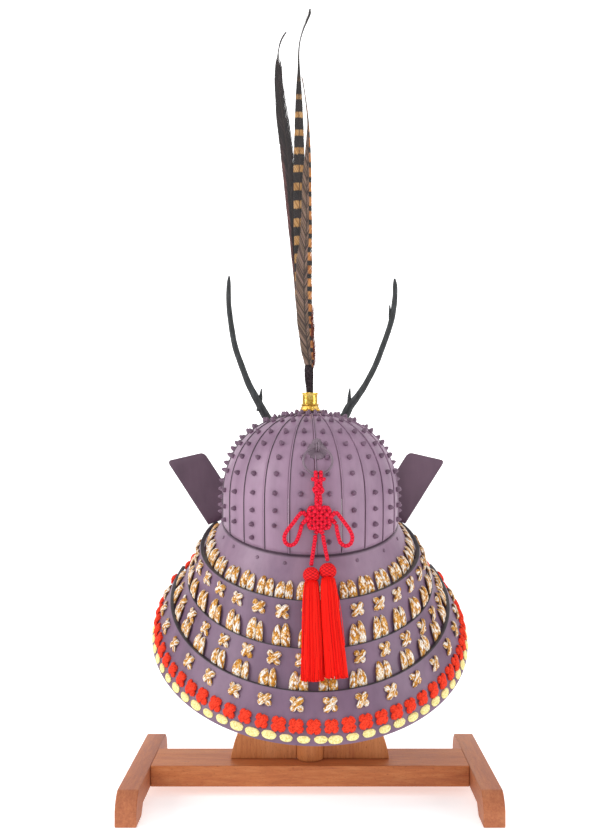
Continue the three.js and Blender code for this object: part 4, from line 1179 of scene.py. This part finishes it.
# A tapering bar with ridges that run along it and a slow swell
def antlerTube(stations, seed):
    chance = np.random.default_rng(seed)
    line = smoothLine(stations, 12 * len(stations))
    rows = np.arange(len(line))[:, None] / 12
    turn = 2 * np.pi * np.arange(20)[None] / 20
    phase = chance.uniform(0, 6.28, 5)
    relief = (0.045 * np.sin(5 * turn + 0.5 * rows + phase[0])
              + 0.03 * np.sin(9 * turn - 0.8 * rows + phase[1])
              + 0.04 * np.sin(2.1 * rows + phase[2] + turn)
              + 0.02 * np.sin(5.3 * rows + 2 * turn + phase[3]))
    return skin(place(rings(line[:, :3], line[:, 3:4] * (1 + relief), sides=20)), wrap=True, caps=True)


for k, (node, bars) in enumerate(antlers.items()):
    makePiece(node + "_carved", [antlerTube(stations, 70 + 5 * k + n) for n, stations in enumerate(bars)],
              antlerStain, node)

bracket = {"low": 428, "high": 450, "inner": 118, "outer": 133, "half": 17}
turns = np.linspace(180 - bracket["half"], 180 + bracket["half"], 33) * deg
corner = np.array([(bracket["inner"], bracket["low"]), (bracket["outer"], bracket["low"]),
                   (bracket["outer"], bracket["high"]), (bracket["inner"], bracket["high"])], float)
points = np.stack([corner[None, :, 0] * np.sin(turns)[:, None], corner[None, :, 0] * np.cos(turns)[:, None],
                   corner[None, :, 1] + 0 * turns[:, None]], -1)
addBevel(makePiece("antler_bracket_plate", [skin(place(points), wrap=True, caps=True)], polishedGilt,
                   "antler_bracket", sharp=40), 1.0, 3)
print("antlers made")


# --- ring, staple and bow

hangRing = {"x": -3.5, "y": 115.4, "z": 442.5, "outer": 38.5, "wire": 3, "lean": 23 * deg}
ringReach = (hangRing["outer"] - hangRing["wire"]) / 2
turn = 2 * np.pi * np.arange(96) / 96
circle = np.stack([ringReach * np.sin(turn), -ringReach * np.cos(turn) * math.sin(hangRing["lean"]),
                   ringReach * np.cos(turn) * math.cos(hangRing["lean"])], -1)
circle += np.array([hangRing["x"], hangRing["y"], hangRing["z"]])
makePiece("cord_ring_forged",
          [skin(place(rings(circle, np.full(96, hangRing["wire"]), sides=14,
                            square=(0, math.cos(hangRing["lean"]), math.sin(hangRing["lean"])), closed=True)),
                wrap=True, loop=True)], ringLacquer, "cord_ring")


# A rosette on the bowl: a domed disc whose edge and face are scalloped into petals
def rosette(x, z, radius, petalCount, high, sides=96, rows=12):
    turn = math.asin(x / float(bowlRadius(np.array(float(z)))))
    origin, across, up, out = (v[0] for v in bowlFrame(np.array([turn]), np.array([float(z)])))
    angle = 2 * np.pi * np.arange(sides) / sides
    petal = np.abs(np.cos(petalCount / 2 * angle)) ** 0.45
    s = np.linspace(1, 0.02, rows)[:, None]
    reach = radius * s * (1 - 0.12 * (1 - petal) * s)
    height = high * (1 - s**4) * (1 - 0.45 * (1 - petal) * np.clip(s * 1.6 - 0.3, 0, 1)) - 0.2
    sag = reach**2 * np.cos(angle) ** 2 / (2 * 110)
    body = (origin + (reach * np.cos(angle))[..., None] * across + (reach * np.sin(angle))[..., None] * up
            + (height - sag)[..., None] * out)
    return skin(place(body), wrap=True, caps=True)


ringTop = {"y": hangRing["y"] - ringReach * math.sin(hangRing["lean"]),
           "z": hangRing["z"] + ringReach * math.cos(hangRing["lean"])}
stapleZ = ringTop["z"] + 5
stapleY = float(bowlRadius(np.array(stapleZ))) * bowl["deep"] + 3.8
stapleLine = smoothLine([
    (hangRing["x"], stapleY - 2, stapleZ), (hangRing["x"], ringTop["y"] - 1.2, ringTop["z"] + 5.2),
    (hangRing["x"], ringTop["y"] + 3.2, ringTop["z"] + 3.8),
    (hangRing["x"], ringTop["y"] + 4.4, ringTop["z"] - 0.4),
    (hangRing["x"], ringTop["y"] + 2, ringTop["z"] - 3.8),
    (hangRing["x"], ringTop["y"] - 0.4, ringTop["z"] - 4.4)], 30)
stapleSkins = [rosette(hangRing["x"], 454.5, 13, 16, 1.6),
               rosette(hangRing["x"], stapleZ + 1.2, 6.2, 8, 2.6, 64)]
for side in (-1.4, 1.4):
    stapleSkins.append(skin(place(rings(stapleLine + np.array([side, 0, 0]), np.full(30, 2.3), sides=10,
                                        square=(1, 0, 0))), wrap=True, caps=True))
makePiece("ring_staple_rosette", stapleSkins, ringLacquer, "ring_staple")


# The knot: four strands each way on the slant, over and under by turns. The middle two of each way
# close into one loop round the knot; the outer two run on to the hanger, the loops and the tassels.
def knotSkins():
    pitch, cord = bow["pitch"], 5.4
    half, bulge = 1.5 * pitch, 5.2
    centre = np.array([bow["knotX"], bow["y"], bow["knotZ"]])
    leftUp, rightUp = np.array([1, 0, 1]) / math.sqrt(2), np.array([-1, 0, 1]) / math.sqrt(2)
    outward = np.array([0, 1.0, 0])

    def strand(along, across, k, sign):
        s = np.array([-1.5, -1, -0.5, 0, 0.5, 1, 1.5])
        lift = sign * (-1) ** k * np.cos(np.pi * (s + 1.5)) * 2.1
        return (centre + along * (s * pitch)[:, None] + across * ((k - 1.5) * pitch)
                + outward * lift[:, None])

    made, outer = [], []
    for along, across, sign in ((leftUp, rightUp, 1), (rightUp, leftUp, -1)):
        up, down = strand(along, across, 1, sign), strand(along, across, 2, sign)[::-1]
        topLoop = [centre + along * (half + reach) + across * offset for reach, offset in
                   ((3.2, -pitch * 0.72), (bulge + 1.2, 0.0), (3.2, pitch * 0.72))]
        footLoop = [centre - along * (half + reach) + across * offset for reach, offset in
                    ((3.2, pitch * 0.72), (bulge + 1.2, 0.0), (3.2, -pitch * 0.72))]
        ringLine = np.concatenate([up, topLoop, down, footLoop, up[:1]])
        made.append(braidTube(smoothLine(ringLine, 121)[:-1], cord, 12, closed=True))
        outer += [strand(along, across, k, sign) for k in (0, 3)]
    # the outer four: where the free cords and the hanger begin, above and below each strand
    ends = [[(15.4, 381.2), (-9.0, 354.6)], [(-1.1, 391.5), (-24.6, 366.4)],
            [(-24.2, 381.2), (0.2, 354.6)], [(-5.7, 391.5), (16.4, 366.4)]]
    for line, (head, tail) in zip(outer, ends):
        head, tail = (np.array([p[0], bow["y"], p[1]]) for p in (head, tail))
        made.append(braidTube(smoothLine(np.concatenate([[tail], line, [head]]), 90), cord, 12))
    return made


makePiece("bow_knot_woven", knotSkins(), loopSilk, "bow_knot")


# A ball knot: one cord in three leads and five bights round a small globe
def ballKnot(centre, reach, tall, cord):
    turn = 2 * np.pi * 3 * np.arange(180) / 180
    height = tall * np.sin(5 / 3 * turn)
    radius = reach * np.sqrt(1 - 0.75 * (height / (tall * 1.15)) ** 2) + 0.8 * np.cos(10 / 3 * turn)
    line = np.stack([radius * np.sin(turn), radius * np.cos(turn) * 0.7, height], -1) + np.array(centre)
    return braidTube(line, cord, 10, closed=True)


def hangerSkins():
    y = bow["y"]
    made = [ballKnot((bow["x"], y, 407.6), 4.9, 4.2, 3.9)]
    for side in (-1, 1):
        lower = [(bow["x"] + side * 2.3, y, 390), (bow["x"] + side * 2.5, y + 0.3, 395),
                 (bow["x"] + side * 1.9, y, 400), (bow["x"] + side * 1.4, y, 404)]
        upper = [(bow["x"] + side * 1.2, y, 411), (bow["x"] + side * 2.4, y + 0.6, 415.5),
                 (bow["x"] + side * 2.9, y + 0.8, 420), (bow["x"] + side * 3.1, y + 0.2, 425.5),
                 (bow["x"] + side * 2.9, y - 2.6, 428.8), (bow["x"] + side * 2.4, y - 5.4, 427.5)]
        made.append(braidTube(smoothLine(lower, 24), 4.6, 12))
        made.append(braidTube(smoothLine(upper, 50), 4.9, 12))
    collar = smoothLine([(bow["x"] + side, y + back, z) for side, back, z in
                         ((-6.2, -2.6, 419.5), (-7, -0.2, 420.6), (-4.5, 2.2, 420.2), (0, 3.2, 418.9),
                          (4.5, 2.2, 420.2), (7, -0.2, 420.6), (6.2, -2.6, 419.5))], 50)
    made.append(braidTube(collar, 4.4, 12))
    small = smoothLine([(bow["x"] + side, y + back, z) for side, back, z in
                        ((-4, -1, 414), (-2.4, 1.9, 413.2), (2.4, 1.9, 414.4), (4, -1, 413.6))], 30)
    made.append(braidTube(small, 3.2, 10))
    return made


makePiece("bow_hanger_braided", hangerSkins(), loopSilk, "bow_hanger")

# Tassels: a crocheted ball and a skirt of loose strands. stations are x, y, z, wide, thick.
tassels = {
    "tassel_left": {
        "head": (6, 144, 307), "size": (19.4, 16.4, 19.6), "cord": "tassel_cord_left", "seed": 81,
        "stations": [(6, 148, 300, 15, 12), (6.2, 151.5, 293, 17.6, 13), (6.5, 156, 283, 19.6, 13.5),
                     (6.8, 167, 258, 21.6, 14), (6.8, 181, 226, 24.2, 14), (7.1, 194, 194.5, 26.4, 14.5)]},
    "tassel_right": {
        "head": (-13.8, 143, 311.4), "size": (20, 16.4, 20), "cord": "tassel_cord_right", "seed": 82,
        "stations": [(-13.8, 147.4, 303.6, 15.4, 12), (-14, 151, 296, 18, 13), (-14.4, 155.4, 287, 20, 13.5),
                     (-15.6, 167, 260, 22, 14), (-18, 181, 228, 24.4, 14), (-20.1, 194, 197.5, 26.4, 14.5)]},
}


# The ball: radii follow an ellipsoid, with a diamond relief of crossing rows
def tasselHead(tassel):
    wide, deep, tall = (v / 2 for v in tassel["size"])
    rows, sides = 49, 72
    climb = np.linspace(-1, 1, rows)[:, None] * 0.5 * np.pi * 0.985
    turn = 2 * np.pi * np.arange(sides)[None] / sides
    knit = np.abs(np.sin(9 * turn + 6.5 * climb) * np.sin(9 * turn - 6.5 * climb))
    relief = 1 + 0.05 * knit * np.cos(climb)
    x, y, z = (np.cos(climb) * np.cos(turn) * wide * relief, np.cos(climb) * np.sin(turn) * deep * relief,
               np.sin(climb) * tall + 0 * turn)
    points = np.stack([x, y, z], -1) + np.array(tassel["head"], float)
    v, u = np.meshgrid(np.linspace(0, 2.2, rows), np.linspace(0, 1, sides + 1), indexing="ij")
    return skin(place(points), wrap=True, caps=True, uv=np.stack([u, v], -1))


# The skirt: strands fill a flattened bundle; each keeps its own place in the section all the way down
def tasselSkirt(tassel):
    chance = np.random.default_rng(tassel["seed"])
    count, rows = 460, 16
    path = smoothLine(tassel["stations"], rows)
    turn = chance.uniform(0, 2 * np.pi, count)
    outer, inner = chance.uniform(0.93, 1.0, count), chance.uniform(0.6, 0.95, count)
    depth = np.where(np.arange(count) < 330, outer, inner)[:, None]
    s = np.linspace(0, 1, rows)[None]
    end = chance.uniform(0.975, 1.004, count)[:, None]
    at = s * end * (rows - 1)
    column = lambda i: np.interp(at, np.arange(rows), path[:, i])
    sway = chance.normal(0, 0.35, (count, 1)) * np.sin(np.pi * s * chance.uniform(0.7, 1.8, (count, 1))) * s
    spread = turn[:, None] + chance.normal(0, 0.09, (count, 1)) * s
    x = column(0) + np.cos(spread) * depth * column(3) / 2 + sway
    y = column(1) + np.sin(spread) * depth * column(4) / 2
    lines = np.stack([x, y, column(2)], -1)
    body = rings(lines, np.broadcast_to(mix(1.05, 0.85, s), x.shape), sides=4)
    # Painted shade: strands deeper in the bundle get a darker tone, on top of each strand's random tone
    shade = np.clip(0.55 + 0.45 * chance.uniform(-1, 1, count) - 1.6 * (1 - depth[:, 0]), 0, 1)
    tone = np.broadcast_to(np.stack([shade, shade], -1)[:, None, None], (count, rows, 5, 2))
    strands = skin(place(body), wrap=True, caps=True, tone=tone)
    # A solid core inside the strands, toned dark as painted shade between them
    core = rings(path[:, :3], path[:, 3] * 0.93, path[:, 4] * 0.93, 32)
    core = core[:-1]
    dark = np.full((rows - 1, 33, 2), 0.3)
    return [skin(place(core), wrap=True, caps=True, tone=dark), strands]


strayStrand = smoothLine([(-25, 158, 285), (-27.5, 166, 268), (-29.5, 176, 247), (-30.5, 184, 232)], 20)
for node, tassel in tassels.items():
    head = makePiece(node + "_head", [tasselHead(tassel)], knitSilk, node)
    skirt = tasselSkirt(tassel)
    if node == "tassel_right":
        body = rings(strayStrand, np.full(20, 0.7), sides=4)
        skirt.append(skin(place(body), wrap=True, caps=True, tone=np.full((20, 5, 2), 0.6)))
    makePiece(node + "_skirt", skirt, skirtSilk, node)
    cordPiece, line = cordPieces[tassel["cord"]]
for cordName in ("bow_loop_left", "bow_loop_right"):
    cordPiece, line = cordPieces[cordName]
print("bow and tassels made")


# --- stand, in its own frame: millimetres about the helmet's axis, not turned

stand = {"foot": {"wide": 26.6, "tall": 40, "long": 251, "middle": 4.5, "nose": 20, "slope": 17, "pad": 35,
                  "relief": 12},
         "beam": {"long": 418, "deep": 70, "low": 12.6, "middle": -5},
         "post": {"radius": 18, "middle": -1, "low": 40.3, "top": 440},
         "brace": {"radius": 106.7, "drop": 12, "thick": 18, "back": 3.5}, "gap": 0.3}


def standPlace(skins):
    for s in skins:
        s["points"] = (s["points"] + np.array([axisX, axisY, 0])) * mm
    return skins


foot = stand["foot"]
halfFoot = foot["long"] / 2
u = np.linspace(0, 1, 9)[1:-1, None]
backNose = ((1 - u) ** 2 * np.array([halfFoot, foot["nose"]])
            + 2 * u * (1 - u) * np.array([halfFoot - foot["slope"] * 0.3,
                                          mix(foot["nose"], foot["tall"], 0.75)])
            + u**2 * np.array([halfFoot - foot["slope"], foot["tall"]]))
padEnd = halfFoot - foot["pad"]
outline = [(-halfFoot, 0), (-padEnd, 0), (foot["relief"] - padEnd, foot["relief"]),
           (padEnd - foot["relief"], foot["relief"]), (padEnd, 0), (halfFoot, 0), (halfFoot, foot["nose"])]
outline = np.array(outline + [tuple(p) for p in backNose] + [(halfFoot - foot["slope"], foot["tall"])]
                   + [(foot["slope"] - halfFoot, foot["tall"])] + [(-p[0], p[1]) for p in backNose[::-1]]
                   + [(-halfFoot, foot["nose"])])
for sign, node in ((1, "stand_foot_left"), (-1, "stand_foot_right")):
    inner = stand["beam"]["long"] / 2 + stand["gap"]
    body = prism(outline + np.array([foot["middle"], 0]), [sign * inner, sign * (inner + foot["wide"])],
                 (0, 1, 0), (0, 0, 1), (1, 0, 0))
    addBevel(makePiece(node + "_board", standPlace([body]), footWood, node, sharp=30), 1.2, 3, 20)

beam = stand["beam"]
deep = beam["deep"] / 2
outline = [(beam["middle"] - deep, beam["low"]), (beam["middle"] + deep, beam["low"]),
           (beam["middle"] + deep, foot["tall"]), (beam["middle"] - deep, foot["tall"])]
body = prism(outline, [-beam["long"] / 2, beam["long"] / 2], (0, 1, 0), (0, 0, 1), (1, 0, 0))
addBevel(makePiece("stand_beam_board", standPlace([body]), beamWood, "stand_beam", sharp=30), 1.0, 3)

post = stand["post"]
radius = post["radius"]
body = skin(lathe([(2, post["low"]), (radius - 1.5, post["low"]), (radius - 0.4, post["low"] + 0.5),
                   (radius, post["low"] + 1.6), (radius, 150), (radius, 300), (radius, post["top"] - 1),
                   (radius - 1, post["top"]), (2, post["top"])],
                  72, centre=(0, post["middle"])), wrap=True, caps=True)
makePiece("stand_post_turned", standPlace([body]), uprightWood, "stand_post", sharp=40)


# A half disc coped round the post: at depth y its inner edge is sqrt(radius^2 - (y - middle)^2)
def braceSkin(sign):
    brace = stand["brace"]
    depths = np.linspace(brace["back"] - brace["thick"], brace["back"], 13)
    inner = np.sqrt((post["radius"] + stand["gap"]) ** 2 - (depths - post["middle"]) ** 2)
    low = brace["drop"] + stand["gap"]
    start = math.asin(low / brace["radius"])
    rowsOut = []
    for depth, x in zip(depths, inner):
        arc = np.linspace(start, math.acos(x / brace["radius"]), 40)
        edge = np.stack([brace["radius"] * np.cos(arc), brace["radius"] * np.sin(arc)], -1)
        face = np.concatenate([[(x, low)], edge, [(x, mix(low, edge[-1, 1], 0.5))]])
        rowsOut.append(np.stack([sign * face[:, 0], np.full(len(face), depth),
                                 face[:, 1] + foot["tall"] - brace["drop"]], -1))
    return skin(np.stack(rowsOut), wrap=True, caps=True)


for sign, node in ((1, "stand_brace_left"), (-1, "stand_brace_right")):
    piece = makePiece(node + "_board", standPlace([braceSkin(sign)]), uprightWood, node, sharp=30)
    addBevel(piece, 0.8, 3, 50)

block = [(2, 440.3), (26, 440.3), (45, 452), (62, 464), (67, 470), (68, 475), (66.8, 480), (64, 484.4),
         (50, 491.6), (30, 497), (14, 499.2), (2, 499.6)]
body = skin(lathe(densify(block, 6), 72), wrap=True, caps=True)
makePiece("stand_head_block_turned", standPlace([body]), uprightWood, "stand_head_block", sharp=40)
print("stand made")


# --- floor, backdrop and light

# Glowing white studio floor and wall: matte, and lit enough from within to stay white
def stageMaterial(name, glow):
    material, shader = newMaterial(name)[::2]
    shader.inputs["Base Color"].default_value = (0.9, 0.9, 0.9, 1)
    shader.inputs["Roughness"].default_value = 0.9
    shader.inputs["Specular IOR Level"].default_value = 0.0
    shader.inputs["Emission Color"].default_value = (1, 1, 1, 1)
    shader.inputs["Emission Strength"].default_value = glow
    return material


def stagePiece(name, corners, material):
    mesh = bpy.data.meshes.new(name)
    mesh.from_pydata(corners, [], [list(range(len(corners)))])
    mesh.materials.append(material)
    piece = bpy.data.objects.new(name, mesh)
    scene.collection.objects.link(piece)


turn = 2 * np.pi * np.arange(64) / 64
stagePiece("floor", [(7 * math.cos(a), 7 * math.sin(a), -0.0005) for a in turn],
           stageMaterial("white floor", 0.5))
stagePiece("backdrop", [(9, -6.5, -1), (-9, -6.5, -1), (-9, -6.5, 9), (9, -6.5, 9)],
           stageMaterial("white wall", 0.9))

world = bpy.data.worlds.new("studio")
scene.world = world
world.use_nodes = True
background = world.node_tree.nodes["Background"]
background.inputs[0].default_value = (1, 1, 1, 1)
background.inputs[1].default_value = 0.42
scene.view_settings.view_transform = "Standard"
scene.view_settings.look = "None"

# where each soft lamp stands, how wide it is and its power: two at the sides, one behind the camera
lights = {"left": {"at": (2.3, 0.9, 1.5), "size": 1.8, "power": 42},
          "right": {"at": (-2.3, 0.8, 1.2), "size": 1.8, "power": 27},
          "main": {"at": (0.6, 2.5, 2.0), "size": 1.5, "power": 12},
          "top": {"at": (0, 0, 2.7), "size": 2.0, "power": 12}}
for name, light in lights.items():
    data = bpy.data.lights.new(name, "AREA")
    data.shape, data.size, data.energy = "DISK", light["size"], light["power"]
    lamp = bpy.data.objects.new(name, data)
    lamp.location = light["at"]
    lamp.rotation_euler = (Vector((0, 0, 0.42)) - Vector(light["at"])).to_track_quat("-Z", "Y").to_euler()
    scene.collection.objects.link(lamp)
print("scene lit")
